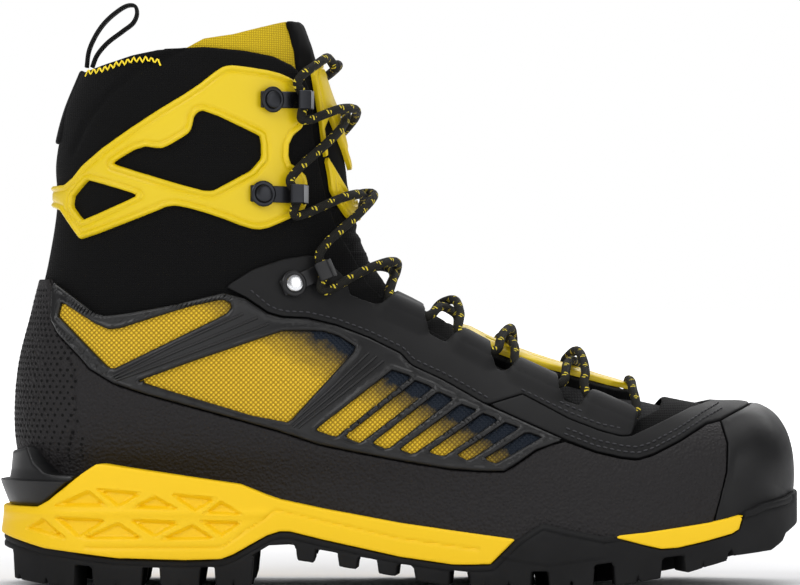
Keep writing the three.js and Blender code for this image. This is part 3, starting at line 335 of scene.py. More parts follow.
# The section and turn that lie at x, z in side view.
def locate(x, z, side):
    x, z = np.atleast_1d(np.asarray(x, float)), np.atleast_1d(np.asarray(z, float))
    steps = np.arange(0.3, lastSection + 0.01, 0.2)
    s = sectionAt(steps)
    cross = lambda s, x, z: ((s[..., 2] - s[..., 0]) * (z - s[..., 1])
                             - (s[..., 3] - s[..., 1]) * (x - s[..., 0]))
    table = cross(s[None], x[:, None], z[:, None])
    flips = table[:, :-1] * table[:, 1:] <= 0
    first = np.argmax(flips, 1)
    low, high = steps[first], steps[first + 1]
    for _ in range(26):
        mid = (low + high) / 2
        same = cross(sectionAt(low), x, z) * cross(sectionAt(mid), x, z) > 0
        low, high = np.where(same, mid, low), np.where(same, high, mid)
    s = sectionAt(low)
    chord = s[:, 2:4] - s[:, 0:2]
    along = np.clip(((x - s[:, 0]) * chord[:, 0] + (z - s[:, 1]) * chord[:, 1]) / (chord ** 2).sum(1), 0, 1)
    widest, crown, base = s[:, 8], s[:, 9], s[:, 10]
    above = along < widest
    power = np.where(above, crown, base)
    c = np.where(above, 1 - along / widest, (along - widest) / (1 - widest))
    n = np.maximum(1 - c ** power, 0) ** (1 / power)
    turn = np.arctan2(n, np.where(above, c, -c))
    return low, turn if side < 0 else -turn


def onUpper(x, z, side):
    return upperSurface(*locate(x, z, side))[0]


# How far each point lies along a line.
def runAlong(line):
    return np.concatenate([[0], np.cumsum(np.linalg.norm(np.diff(line, axis=0), axis=1))])


# Signed distance to a polygon, positive inside, and the direction from its edge.
def distanceTo(outline, x, z, closed=True):
    a = np.asarray(outline, float)
    b = np.roll(a, -1, 0) if closed else a[1:]
    a = a if closed else a[:-1]
    best = np.full(len(x), 1e9)
    gx, gz = np.zeros(len(x)), np.zeros(len(x))
    crossings = np.zeros(len(x), int)
    for (ax, az), (bx, bz) in zip(a, b):
        ex, ez = bx - ax, bz - az
        t = np.clip(((x - ax) * ex + (z - az) * ez) / (ex * ex + ez * ez), 0, 1)
        dx, dz = x - ax - t * ex, z - az - t * ez
        d = np.hypot(dx, dz)
        near = d < best
        best = np.where(near, d, best)
        gx, gz = np.where(near, dx, gx), np.where(near, dz, gz)
        if closed:
            spans = (az > z) != (bz > z)
            crossings += spans & (x < (bx - ax) * (z - az) / (bz - az + 1e-12) + ax)
    size = np.maximum(np.hypot(gx, gz), 1e-9)
    sign = np.where(crossings % 2 == 1, 1, -1) if closed else 1
    return best * sign, np.stack([gx / size, gz / size], 1)


# The distance in side view, made true along the surface.
def sideField(outline, at, normal):
    d, g = distanceTo(outline, at[:, 0], at[:, 2])
    facing = g[:, 0] * normal[:, 0] + g[:, 1] * normal[:, 2]
    return d / np.sqrt(np.maximum(1 - facing ** 2, 0.12))


# Corners cut, for outlines that are moulded or sewn in curves.
def smoothOutline(points):
    p = np.asarray(points, float)
    q = np.roll(p, -1, 0)
    return np.stack([p * 0.75 + q * 0.25, p * 0.25 + q * 0.75], 1).reshape(-1, 2)


cutSnap = 0.06  # a point this near a cut, in millimetres, is moved onto it


# Splits triangles along one level of a field; the table holds one value a vertex.
def cutLevel(table, tris, key, level):
    s = table[key] - level
    s = np.where(np.abs(s) < cutSnap, 0, s)
    table[key] = s + level
    sign = np.sign(s).astype(int)
    edges = np.sort(np.stack([tris, np.roll(tris, -1, 1)], 2).reshape(-1, 2), 1)
    crossing = sign[edges[:, 0]] * sign[edges[:, 1]] < 0
    unique, back = np.unique(edges[crossing], axis=0, return_inverse=True)
    back = np.asarray(back).reshape(-1)
    if not len(unique):
        return table, tris
    f = s[unique[:, 0]] / (s[unique[:, 0]] - s[unique[:, 1]])
    start = len(s)
    for name, values in table.items():
        table[name] = np.concatenate([values, values[unique[:, 0]] * (1 - f) + values[unique[:, 1]] * f])
    table[key][start:] = level
    cutAt = np.full(len(edges), -1)
    cutAt[crossing] = back + start
    cutAt = cutAt.reshape(-1, 3)
    count = (cutAt >= 0).sum(1)
    kept = [tris[count == 0]]
    one = count == 1
    t, c = tris[one], cutAt[one]
    k = np.argmax(c >= 0, 1)
    r = np.arange(len(t))
    a, b, d, p = t[r, k], t[r, (k + 1) % 3], t[r, (k + 2) % 3], c[r, k]
    kept += [np.stack([a, p, d], 1), np.stack([p, b, d], 1)]
    two = count == 2
    t, c = tris[two], cutAt[two]
    k = np.argmax(c < 0, 1)
    r = np.arange(len(t))
    a, b, d = t[r, k], t[r, (k + 1) % 3], t[r, (k + 2) % 3]
    p, q = c[r, (k + 1) % 3], c[r, (k + 2) % 3]
    kept += [np.stack([d, q, p], 1), np.stack([a, b, p], 1), np.stack([a, p, q], 1)]
    return table, np.concatenate(kept)


def keepTris(table, tris, keep):
    tris = tris[keep]
    used, back = np.unique(tris.reshape(-1), return_inverse=True)
    return {k: v[used] for k, v in table.items()}, np.asarray(back).reshape(-1, 3)


# A closed sheet laid on a surface and kept where field s is above 0. Height is how far its face stands off,
# rounded over towards its cut edges, and bottom is where its inner face lies: each a number or a function.
def makeSheet(name, surface, span, step, fields, height, material, body="boot", cuts=(), bottom=-0.3,
              edgeCuts=(0.25, 0.7, 1.3), rounded=0.9, edgeDrop=0.55):
    u0, u1, v0, v1 = span
    nu, nv = max(int((u1 - u0) / step[0]), 2), max(int((v1 - v0) / step[1]), 2)
    uu, vv = np.meshgrid(np.linspace(u0, u1, nu + 1), np.linspace(v0, v1, nv + 1), indexing="ij")
    table = {"u": uu.ravel(), "v": vv.ravel()}
    i, j = np.meshgrid(np.arange(nu), np.arange(nv), indexing="ij")
    a = (i * (nv + 1) + j).ravel()
    b, c, d = a + nv + 1, a + nv + 2, a + 1
    flip = ((i + j) % 2).ravel() == 1
    tris = np.concatenate([
        np.stack([a, b, c], 1)[flip], np.stack([a, c, d], 1)[flip],
        np.stack([a, b, d], 1)[~flip], np.stack([b, c, d], 1)[~flip],
    ])
    table.update(fields(*surface(table["u"], table["v"])))
    table, tris = keepTris(table, tris, table["s"][tris].max(1) > 0)
    for key, level in [("s", 0.0)] + [("s", edge) for edge in edgeCuts] + list(cuts):
        table, tris = cutLevel(table, tris, key, level)
        if (key, level) == ("s", 0.0):
            table, tris = keepTris(table, tris, table["s"][tris].mean(1) > 0)
    at, normal = surface(table["u"], table["v"])
    _, first, same = np.unique(np.round(at, 4), axis=0, return_index=True, return_inverse=True)
    tris = first[np.asarray(same).reshape(-1)][tris]
    tris = tris[(tris[:, 0] != tris[:, 1]) & (tris[:, 1] != tris[:, 2]) & (tris[:, 2] != tris[:, 0])]
    edge = np.clip(table["s"] / rounded, 0, 1)
    drop = edgeDrop * (1 - np.sqrt(np.maximum(1 - (1 - edge) ** 2, 0)))
    face, back = (value(table) if callable(value) else np.full(len(at), value) for value in (height, bottom))
    top, low = at + normal * (face - drop)[:, None], at + normal * back[:, None]
    p = top[tris]
    if (np.cross(p[:, 1] - p[:, 0], p[:, 2] - p[:, 0]) * normal[tris[:, 0]]).sum() < 0:
        tris = tris[:, ::-1]
    edges = np.stack([tris, np.roll(tris, -1, 1)], 2).reshape(-1, 2)
    _, index, count = np.unique(np.sort(edges, 1), axis=0, return_index=True, return_counts=True)
    rim = edges[index[count == 1]]
    under = len(top)
    walls = np.stack([rim[:, 1], rim[:, 0], rim[:, 0] + under, rim[:, 1] + under], 1)
    points = np.vstack([top, low])
    faces = tris.tolist() + (tris[:, ::-1] + under).tolist() + walls.tolist()
    uv = np.vstack([at, at])[:, [0, 2]]
    used = np.unique(np.concatenate([tris.ravel(), tris.ravel() + under]))
    order = np.full(len(points), -1)
    order[used] = np.arange(len(used))
    faces = [[int(order[k]) for k in face] for face in faces]
    return makeMesh(name, points[used], faces, material, body, uv[used])


# A mesh of points in the pattern's frame; edges sharper than the angle stay sharp.
def makeMesh(name, points, faces, material, body="boot", uv=None, angle=38):
    mesh = bpy.data.meshes.new(name)
    mesh.from_pydata(((np.asarray(points) + patternShift) * mm).tolist(), [], faces)
    mesh.validate()
    mesh.update()
    if uv is not None:
        layer = mesh.uv_layers.new(name="UVMap")
        loops = np.empty(len(mesh.loops), int)
        mesh.loops.foreach_get("vertex_index", loops)
        layer.data.foreach_set("uv", (np.asarray(uv)[loops] * mm).ravel())
    mesh.materials.append(material)
    piece = bpy.data.objects.new(name, mesh)
    bpy.context.scene.collection.objects.link(piece)
    mesh.shade_smooth()
    mesh.set_sharp_from_angle(angle=math.radians(angle))
    if body:
        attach(piece, body)
    return piece


# Quads between rings of points that follow one another.
def ringFaces(rings, sides):
    pairs = [(k * sides + s, k * sides + (s + 1) % sides) for k in range(rings - 1) for s in range(sides)]
    return [(a, b, b + sides, a + sides) for a, b in pairs]


def standsFor(node):
    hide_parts(node)


def join(name, pieces):
    bpy.ops.object.select_all(action="DESELECT")
    for piece in pieces:
        piece.select_set(True)
    bpy.context.view_layer.objects.active = pieces[0]
    bpy.ops.object.join()
    joined = bpy.context.view_layer.objects.active
    joined.name = name
    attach(joined, "boot")
    return joined


# The sole seen from above.
solePlan = np.array([
    [-154.5, 0], [-153, -14], [-147, -27], [-135, -37.5], [-116, -43], [-90, -43.8], [-50, -43.4], [-10, -45],
    [25, -49], [52, -52.5], [78, -53.8], [100, -52], [118, -48], [134, -40.5], [146.5, -29], [153, -14],
    [155, 3], [154, 16], [149, 27.5], [140, 36], [127, 42.5], [110, 46.8], [90, 49.8], [65, 51], [40, 49.4],
    [10, 46.6], [-20, 44.2], [-50, 43], [-90, 43.6], [-116, 42.8], [-135, 37.5], [-147, 27], [-153, 14],
])


def smoothClosed(p, between=10):
    a, b, c, d = (np.roll(p, shift, 0)[:, None] for shift in (1, 0, -1, -2))
    f = np.linspace(0, 1, between, endpoint=False)[None, :, None]
    return curveBetween(b, c, (c - a) / 2, (d - b) / 2, f).reshape(-1, 2)


planCurve = smoothClosed(solePlan)
planLoop = np.vstack([planCurve, planCurve[:1]])
planRun = runAlong(planLoop)
planLength = planRun[-1]
# Outlines in side view.
shellEdge = [[-30.4, 160.7], [-28, 150], [-24, 138], [-18, 128], [-12, 117], [0, 105.5], [12, 99], [26, 92],
             [40, 84], [58, 76], [76, 68], [90, 64.5], [100, 69], [112, 90], [170, 90], [170, -30],
             [-180, -30], [-180, 198], [-121, 198.8], [-112.7, 201.6], [-103, 204.4], [-92.8, 206.2],
             [-75, 207.2], [-59, 205.8], [-48, 203.9], [-41.5, 201], [-37.2, 196], [-34.6, 190],
             [-33.6, 183], [-33.4, 176], [-31.8, 168]]
cageTop = [[-132, 117], [-124, 111.2], [-116.2, 105.3], [-112.3, 104.3], [-104, 105.3], [-85.8, 108.8],
           [-67.8, 113.2], [-59.7, 110.9], [-51, 105], [-45.6, 103.4], [-36, 102.8], [-25, 99.9],
           [-12.5, 94.9], [0, 88.6], [4, 84.3], [16.4, 78.5], [31.6, 69.9], [46.4, 63.3], [62.4, 56.3]]
cageBottom = [[51.9, 52.9], [43.7, 47.4], [39.8, 45.2], [31.6, 45.2], [19.5, 46.2], [4.7, 48.6],
              [-16.4, 52.5], [-31.2, 55.6], [-46.8, 60.7], [-97.5, 74.7], [-109.2, 78.6], [-118.2, 84.1],
              [-122.1, 88.7], [-130.3, 97.3], [-133, 102.4], [-132.6, 113.1]]
windows = [
    [[-129.1, 109.6], [-116.2, 101.4], [-111, 99.1], [-106.9, 99.5], [-94, 103.7], [-80, 108], [-68.3, 110.5],
     [-65.1, 109.2], [-64.7, 107.6], [-66.7, 105.1], [-109.6, 83.9], [-111.9, 85.4], [-130.3, 104.1]],
    [[-99.8, 79.6], [-79.2, 87], [-48.8, 97.1], [-44.9, 98.3], [-37, 98.3], [-29.6, 97.9], [-23.8, 96],
     [-17.6, 92], [-18.3, 89.7], [-42.5, 63.6], [-56.6, 66.3], [-91.3, 76.8]],
    [[-32.4, 60.8], [-3.1, 82.9], [4.3, 80.3], [-24.6, 58.1]],
    [[-21.1, 58.1], [5.9, 78.8], [12.5, 76.1], [-15.2, 55.8]],
    [[-10.5, 55.8], [14.4, 74.5], [20.3, 71.8], [-4.7, 53.4]],
    [[0, 53.4], [23, 69.8], [29.3, 67.5], [5.1, 51.5]],
    [[10.9, 52.3], [31.6, 66.3], [37.8, 64], [16.8, 50.7]],
    [[21.8, 51.1], [40.2, 62.8], [45.6, 60.8], [26.1, 49.1]],
    [[32, 49.5], [48.4, 59.3], [54.2, 57.3], [36.7, 48]],
]
randOutline = [[-180, 118], [-134, 118], [-133, 113], [-133.4, 102.2], [-130.6, 96.9], [-122.4, 88.3],
               [-118.4, 83.7], [-109.3, 78.1], [-97.6, 74.2], [-46.9, 60.2], [-31.2, 55.1], [-16.4, 52],
               [4.7, 48.1], [19.5, 45.7], [31.6, 44.7], [39.9, 44.7], [44, 46.9], [52.2, 52.4], [58, 54.6],
               [63, 55.6], [74.5, 51.5], [84.2, 49.3], [90.5, 48.7], [96.3, 50.3], [106.5, 55], [117.4, 61.1],
               [122.8, 62.2], [124.8, 54.6], [124, 44.5], [119, 26.5], [119, -20], [-180, -20]]
toeCapOutline = [[123.3, 62.5], [125.3, 54.6], [124.5, 44.5], [119.5, 26.5], [119.5, -20], [190, -20],
                 [190, 71.5], [143, 71.5]]
vampStrip = [[34, 69.5], [46.8, 73], [64.4, 63.8], [76.4, 59.3], [84.2, 57.3], [88.1, 57.5], [96.7, 61],
             [111.5, 67.3], [124.8, 70.6], [136, 90], [190, 90], [190, 72], [143, 72], [123, 63],
             [117.4, 61.9], [106.5, 55.8], [96.3, 51.1], [90.5, 49.5], [84.2, 50.1], [74.5, 52.3],
             [63.3, 56.5], [46.8, 63.7]]
facingUpper = [[-21.8, 118.2], [-19.9, 111.9], [-14.8, 109.6], [-8.6, 107.3], [-5.4, 109.2], [-2.4, 112],
               [7.4, 105.6], [7.8, 100.6], [11.3, 95.9], [16.5, 93], [22.4, 96.2], [26, 94.6], [33.2, 90.6],
               [33.8, 86], [37.4, 82.3], [41.3, 81.3], [45.4, 84.6], [50, 82.6], [59.6, 78.4], [60.2, 73.7],
               [63, 70.4], [68.3, 68.6], [73, 72.2], [76.4, 71.6], [89, 66], [90.5, 63.2]]
facingLower = [[88.1, 57.9], [84.2, 57.7], [76.4, 59.7], [64.4, 64.2], [46.8, 73.4], [34, 69.9], [31.8, 70.3],
               [16.6, 78.9], [4.2, 84.7], [0.2, 89.1], [-12.3, 95.4], [-24.9, 100.4], [-35.9, 103.3],
               [-45.4, 103.9], [-50.8, 105.5], [-59.3, 111.4]]
facingTip = [[-67, 115.4], [-56.6, 122.1], [-44.9, 126.2], [-36.7, 127.4], [-34.7, 127.3], [-28.9, 125.2]]
facingOutline = facingTip + facingUpper + facingLower
ankleCage = [[-65.9, 200.3], [-60.5, 199.9], [-48.6, 198.1], [-42.5, 195.4], [-37, 191.5], [-37, 177.8],
             [-43.3, 172.4], [-43.7, 163.4], [-39.4, 160.7], [-36.3, 157.2], [-36.5, 148.6], [-37.2, 145.1],
             [-40.6, 142.7], [-46.4, 140], [-52.7, 137.3], [-58.1, 137.8], [-70.6, 142.7], [-84.2, 146.6],
             [-89.3, 146.3], [-92.4, 144.7], [-121.7, 133.5], [-123.2, 134.9], [-132.2, 148.2], [-160, 149],
             [-160, 155], [-132.2, 154.6], [-127.1, 155], [-119.3, 164.6], [-96.3, 180.6], [-78.4, 191.5],
             [-69.4, 198.9]]
ankleHoles = [
    [[-78.4, 182.1], [-74.5, 183.1], [-55.4, 174.1], [-53.4, 172.8], [-53.2, 162.2], [-69.4, 153.3],
     [-71.8, 152.1], [-76.4, 152.3], [-109.2, 162.2], [-109.7, 163.2], [-98.7, 169.5], [-92.4, 168.5],
     [-89.7, 168.7], [-80.7, 174.1], [-79.6, 176.3]],
    [[-118.2, 156.4], [-100.2, 150.9], [-100.2, 150.2], [-120.1, 141.2], [-121.7, 141.2], [-126.8, 148.2],
     [-119.7, 156.4]],
]
tunnels = [((73, 70.2), (89, 63.6)), ((45, 82.2), (60, 75.4)), ((23, 93.8), (34, 88)),
           ((-5, 107.8), (8, 101.8))]
# Depths of the lace are to its middle; each is what it lies on, a gap and half its thickness.
laceDiameter = 3.6
laceRadius = laceDiameter / 2
tunnelDepth = 0.3 + 0.75 + 0.35 + laceRadius


def bumpOf(distance, width):
    return np.exp(-(distance / width) ** 2)


def smoothStep(value, low, high):
    t = np.clip((value - low) / (high - low), 0, 1)
    return t * t * (3 - 2 * t)


def sideSpan(side, u0, u1, t0=0.04, t1=math.pi - 0.02):
    return (u0, u1, t0, t1) if side < 0 else (u0, u1, -t1, -t0)


def lineDistance(points, at):
    return distanceTo(points, at[:, 0], at[:, 2], closed=False)[0]


facingCloth = {"thickness": 2.1, "tunnelWall": 1.5, "sunk": 0.9, "flat": 0.75, "spread": 1.9, "rounding": 0.8}
sideCage = {"thickness": 2.6, "back": 0.7, "meshHeight": 0.9, "meshInset": 0.8,
            "rim": 0.4, "rimInset": 1.1, "rimWidth": 0.55}

# The softshell, one skin over the whole boot, with a seam down the padded collar.
shell = {"thickness": 2.0, "edgeThickness": 0.8, "thinFrom": 5, "collarPuff": 1.1, "seamDepth": 1.0,
         "seamWidth": 1.3, "rounding": 1.6}
collarSeam = [[-82.7, 206.5], [-90.5, 203], [-100.6, 198.1], [-110.4, 189.9], [-121.3, 177.5], [-126, 168]]


def shellFields(at, normal):
    return {"s": sideField(shellEdge, at, normal), "seam": lineDistance(collarSeam, at), "z": at[:, 2]}


def shellHeight(table):
    puff = shell["collarPuff"] * smoothStep(table["z"], 172, 186) * (1 - smoothStep(table["z"], 196, 205))
    return puff - shell["seamDepth"] * bumpOf(table["seam"], shell["seamWidth"]) * (table["z"] > 160)


def shellBack(table):
    thinned = 1 - smoothStep(table["s"], 0, shell["thinFrom"])
    return -shell["thickness"] + (shell["thickness"] - shell["edgeThickness"]) * thinned


softshell = makeSheet("softshell", upperSurface, (0.9, 27.4, -math.pi, math.pi), (0.12, 0.036), shellFields,
                      shellHeight, finishes["softshell"], cuts=[("seam", 1.0), ("seam", 2.4)],
                      bottom=shellBack, rounded=shell["rounding"], edgeDrop=1.2)
standsFor("softshell_upper")
print("softshell")

# The rand, with its seam round the heel, the toe cap and the strip over the vamp.
randWrap = {"thickness": 2.1, "seamDepth": 0.55, "seamWidth": 0.8, "belowSoleTop": 5, "tuck": 3.4}
toeRubber = {"thickness": 2.1, "swell": 0.4, "belowSoleTop": 5, "rounding": 1.2}
heelLine = [[-133, 118], [-130.5, 104], [-127, 92], [-124, 78], [-124, 62], [-128, 50], [-134, 42]]


soleTop = np.array([[-160, 50], [-147, 52], [-143.5, 46], [-138.5, 43], [-124.4, 42.6], [-116.2, 46],
                    [-113, 46.5], [-78, 41], [-60.8, 38.6], [-50.7, 34.6], [-46, 33], [-29.6, 29.5],
                    [0, 24], [21.8, 21], [43.9, 18], [53.8, 24], [64.7, 22], [78, 19.5], [94.4, 21.5],
                    [119, 25], [132.6, 28.4], [140, 31.2], [149.8, 33], [160, 37]])


toeTip = upperPoint(np.zeros(24), np.linspace(0, fullTurn, 24, endpoint=False)).mean(0)


# Below the ball of the foot the rand hangs straight down onto the sole's edge; the toe closes in a point.
def skirtSurface(u, turn):
    u = np.asarray(u, float)
    at, normal = upperSurface(u, turn)
    at = toeTip + (at - toeTip) * np.clip(u / 0.12, 0, 1)[:, None]
    plan, way = distanceTo(planCurve, at[:, 0], at[:, 1])
    wanted = randWrap["tuck"] + 0.12 * (at[:, 2] - 24)
    push = np.clip(plan - wanted, 0, 22) * (1 - smoothStep(at[:, 2], 30, 50))
    at = at.copy()
    at[:, :2] -= way * push[:, None]
    at[:, 2] -= 0.95 * push
    level = np.column_stack([-way, 0 * plan])
    share = (1 - smoothStep(at[:, 2], 26, 46))[:, None]
    normal = normal * (1 - share) + level * share
    tip = (1 - smoothStep(u, 0.0, 0.3))[:, None]  # one direction at the closing point
    normal = normal * (1 - tip) + np.array([[0.98, 0.0, 0.2]]) * tip
    return at, normal / np.linalg.norm(normal, axis=1, keepdims=True)


def soleTopAt(at):
    return np.interp(at[:, 0], soleTop[:, 0], soleTop[:, 1])


def randFields(at, normal):
    above = at[:, 2] - soleTopAt(at) + randWrap["belowSoleTop"]
    return {"s": np.minimum(sideField(randOutline, at, normal), above),
            "heel": lineDistance(heelLine, at)}


def randHeight(table):
    return randWrap["thickness"] - randWrap["seamDepth"] * bumpOf(table["heel"], randWrap["seamWidth"])


def toeFields(at, normal):
    above = at[:, 2] - soleTopAt(at) + toeRubber["belowSoleTop"]
    return {"s": np.minimum(sideField(toeCapOutline, at, normal), above)}


def toeHeight(table):
    return toeRubber["thickness"] + toeRubber["swell"] * smoothStep(table["s"], 0.6, 3)


rand = makeSheet("randWrap", skirtSurface, (2.0, 24.0, 0.18 * math.pi, 1.82 * math.pi), (0.1, 0.032),
                 randFields, randHeight, finishes["randRubber"], cuts=[("heel", 0.5), ("heel", 1.2)])
standsFor("rand")

toeCap = makeSheet("toeCap", skirtSurface, (0.0, 7.5, -math.pi, math.pi), (0.05, 0.04), toeFields, toeHeight,
                   finishes["toeRubber"], rounded=toeRubber["rounding"])
standsFor("toe_cap")

strip = makeSheet("vampStrip", upperSurface, (1.4, 10.2, -0.6 * math.pi, 0.6 * math.pi), (0.07, 0.026),
                  lambda at, n: {"s": sideField(vampStrip, at, n)}, facingCloth["thickness"],
                  finishes["microfibre"])
standsFor("vamp_strip")
print("rand, toe cap, strip")

cageOutline = cageTop + cageBottom


def cageFields(at, normal):
    s = sideField(cageOutline, at, normal)
    for window in windows:
        s = np.minimum(s, -sideField(window, at, normal))
    return {"s": s}


def cageHeight(table):
    rim = bumpOf(table["s"] - sideCage["rimInset"], sideCage["rimWidth"])
    return sideCage["thickness"] + sideCage["rim"] * rim


def facingFields(at, normal):
    tunnel = np.min([lineDistance([rear, front], at) for rear, front in tunnels], 0)
    return {"s": sideField(facingOutline, at, normal), "tunnel": tunnel}


# Round over each lace tunnel, then blended down into the flat of the facing.
def facingHeight(table):
    radius = laceRadius + facingCloth["tunnelWall"]
    turnOff, flatAt = radius * facingCloth["flat"], radius * facingCloth["spread"]
    base, flat = tunnelDepth - facingCloth["sunk"], facingCloth["thickness"]
    d = np.clip(table["tunnel"], 0, flatAt)
    tube = base + np.sqrt(np.maximum(radius ** 2 - d ** 2, 0))
    shoulder = base + math.sqrt(radius ** 2 - turnOff ** 2) - flat
    return np.where(d < turnOff, tube, flat + shoulder * (1 - smoothStep(d, turnOff, flatAt)))


for side in both:
    name = sideName[side]
    mesh = makeSheet(f"sideMesh_{name}", upperSurface, sideSpan(side, 5.0, 23.0), (0.11, 0.032),
                     lambda at, n: {"s": sideField(cageOutline, at, n) - sideCage["meshInset"]},
                     sideCage["meshHeight"], finishes["sideMesh"])
    standsFor(f"side_mesh_{name}")
    cage = makeSheet(f"sideCage_{name}", upperSurface, sideSpan(side, 5.0, 23.0), (0.09, 0.026), cageFields,
                     cageHeight, finishes["blackPlastic"], cuts=[("s", 1.9)], bottom=sideCage["back"],
                     edgeCuts=(0.2, 0.6, 1.1))
    standsFor(f"side_cage_{name}")
    facing = makeSheet(f"laceFacing_{name}", upperSurface, sideSpan(side, 5.0, 19.0, -0.12), (0.07, 0.022),
                       facingFields, facingHeight, finishes["microfibre"],
                       cuts=[("tunnel", 1.2), ("tunnel", 2.4), ("tunnel", 3.6)],
                       rounded=facingCloth["rounding"])
    standsFor(f"lace_facing_{name}")
print("mesh, cage, facing")


# The yellow ankle cage, with a raised rim and a groove inside it.
ankleBand = {"thickness": 2.0, "rim": 0.4, "rimInset": 1.0, "rimWidth": 0.55,
             "groove": 0.45, "grooveInset": 2.3, "grooveWidth": 0.5}


def ankleFields(at, normal):
    s = sideField(smoothOutline(ankleCage), at, normal)
    for hole in ankleHoles:
        s = np.minimum(s, -sideField(smoothOutline(hole), at, normal))
    return {"s": s}


def ankleHeight(table):
    rim = ankleBand["rim"] * bumpOf(table["s"] - ankleBand["rimInset"], ankleBand["rimWidth"])
    groove = ankleBand["groove"] * bumpOf(table["s"] - ankleBand["grooveInset"], ankleBand["grooveWidth"])
    return ankleBand["thickness"] + rim - groove


ankle = makeSheet("ankleCage", upperSurface, (16.0, 27.2, -math.pi - 0.001, math.pi), (0.08, 0.024),
                  ankleFields, ankleHeight, finishes["yellowPlastic"],
                  cuts=[("s", 1.8), ("s", 2.3), ("s", 2.9)])
standsFor("ankle_cage")
print("ankle cage")


# The sole unit's side wall is a surface of its own: along the plan's edge, and up.
def wallSurface(run, z):
    look = lambda s: np.stack([np.interp(s % planLength, planRun, planLoop[:, k]) for k in (0, 1)], 1)
    at = look(run)
    along = look(run + 2.0) - look(run - 2.0)
    normal = np.stack([-along[:, 1], along[:, 0], 0 * run], 1)
    normal /= np.linalg.norm(normal, axis=1, keepdims=True)
    turned = np.sign((normal[:, :2] * at * [0.2, 1]).sum())
    return np.column_stack([at, z]), normal * turned


midsoleWall = {"flare": 1.6, "shelf": 0.7, "truss": 1.9, "groove": 0.6, "inset": 0.4, "depth": 17.0,
               "windowInset": 0.7, "windowDepth": 9.0, "rounding": 1.2}
midsoleSide = [[-153, 31.2], [-139.6, 31.2], [-134.9, 33.7], [-132.2, 35.9], [-121.7, 44.1], [-116.2, 47.7],
               [-113, 47.7], [-78, 42.5], [-60.8, 40], [-50.7, 35.9], [-46, 34.3], [-29.6, 30.8], [0, 25.4],
               [21.8, 22.4], [43.7, 19.5], [34.3, 10.1], [27.7, 9.8], [19.9, 9.8], [0, 12.6], [-29.6, 19.1],
               [-42.1, 22.2], [-46, 22.2], [-50.7, 20.7], [-63.6, 13.5], [-68.3, 11.7], [-81.9, 11.3],
               [-108.4, 12.1], [-136, 15.6], [-175, 26], [-175, 31.2]]
forefootWindow = [[80.4, 20.6], [82, 20.9], [94.4, 22.2], [119, 25.7], [131.6, 28.6], [129.9, 23],
                  [127, 21.3], [114.7, 18.2], [105.7, 16.3], [99.5, 15.9], [94.4, 17]]
trusses = [
    [[-131.8, 32], [-119, 37.4], [-112, 32]], [[-115.4, 38.2], [-99, 36.7], [-107.3, 31.6]],
    [[-101.8, 31.2], [-93.6, 35.5], [-85, 30.8]], [[-86.6, 36.3], [-70.2, 34.7], [-78.4, 30]],
    [[-74.9, 28.9], [-68.3, 33.5], [-60, 28.5]], [[-143.1, 23], [-136.9, 26.5], [-127.5, 19.5]],
    [[-131.8, 27.3], [-112.3, 26.5], [-122.5, 19.9]], [[-120.9, 19.5], [-107.6, 25.3], [-98.3, 19.5]],
    [[-102.6, 26.5], [-84.2, 25.7], [-93.6, 20.3]], [[-91.3, 19.1], [-79.2, 24.6], [-71, 19.5]],
    [[-76, 26.1], [-60.5, 25.7], [-67.9, 20.7]],
]
trussGroove = [[-120.1, 16], [-68.3, 16], [-46.8, 30.4], [-44.5, 29.6], [0, 19.5], [30, 15.5]]
trussShelf = [[-152, 28.4], [-110, 29.2], [-52, 28.8]]


def midsoleFields(at, normal):
    truss = np.max([sideField(t, at, normal) for t in trusses], 0)
    return {"s": sideField(midsoleSide, at, normal), "truss": truss, "groove": lineDistance(trussGroove, at),
            "shelf": lineDistance(trussShelf, at), "z": at[:, 2], "x": at[:, 0]}


def midsoleHeight(table):
    heelward = (1 - smoothStep(table["z"], 13, 30)) * (1 - smoothStep(table["x"], -70, -40))
    raised = midsoleWall["flare"] * heelward + midsoleWall["shelf"] * bumpOf(table["shelf"], 1.3)
    sunk = (midsoleWall["truss"] * smoothStep(table["truss"], -0.7, 0.9)
            + midsoleWall["groove"] * bumpOf(table["groove"], 0.6))
    return raised - sunk - midsoleWall["inset"]


heelWall = makeSheet("midsoleWall", wallSurface, (0, planLength, 8, 50), (1.15, 1.0), midsoleFields,
                     midsoleHeight, finishes["midsoleFoam"], None,
                     cuts=[("truss", -0.7), ("truss", 0.1), ("truss", 0.9), ("groove", 0.4), ("groove", 1.0)],
                     bottom=-midsoleWall["depth"], rounded=midsoleWall["rounding"])
frontWall = makeSheet("midsoleWindow", wallSurface, (0, planLength, 12, 32), (1.6, 1.0),
                      lambda at, n: {"s": sideField(forefootWindow, at, n)}, -midsoleWall["windowInset"],
                      finishes["midsoleFoam"], None, bottom=-midsoleWall["windowDepth"])
midsole = join("midsoleFoam", [heelWall, frontWall])
standsFor("midsole")

ledgeSide = [[-175, 52.4], [-154, 52], [-147, 54], [-143.5, 47.6], [-138.5, 44.1], [-133.8, 43.3],
             [-124.4, 43.3], [-131.7, 37.5], [-135.4, 34.4], [-139.8, 31.5], [-175, 31.5]]


# The lip stands out for the binding; above it the cup leans in against the rand. Height, then reach.
ledgeProfile = [(31, -3.0), (37, -0.6), (40, 0.5), (41, 0.7), (41.6, -2.8), (45, -3.4), (54, -4.2)]


def ledgeHeight(table):
    return np.interp(table["z"], *np.transpose(ledgeProfile))


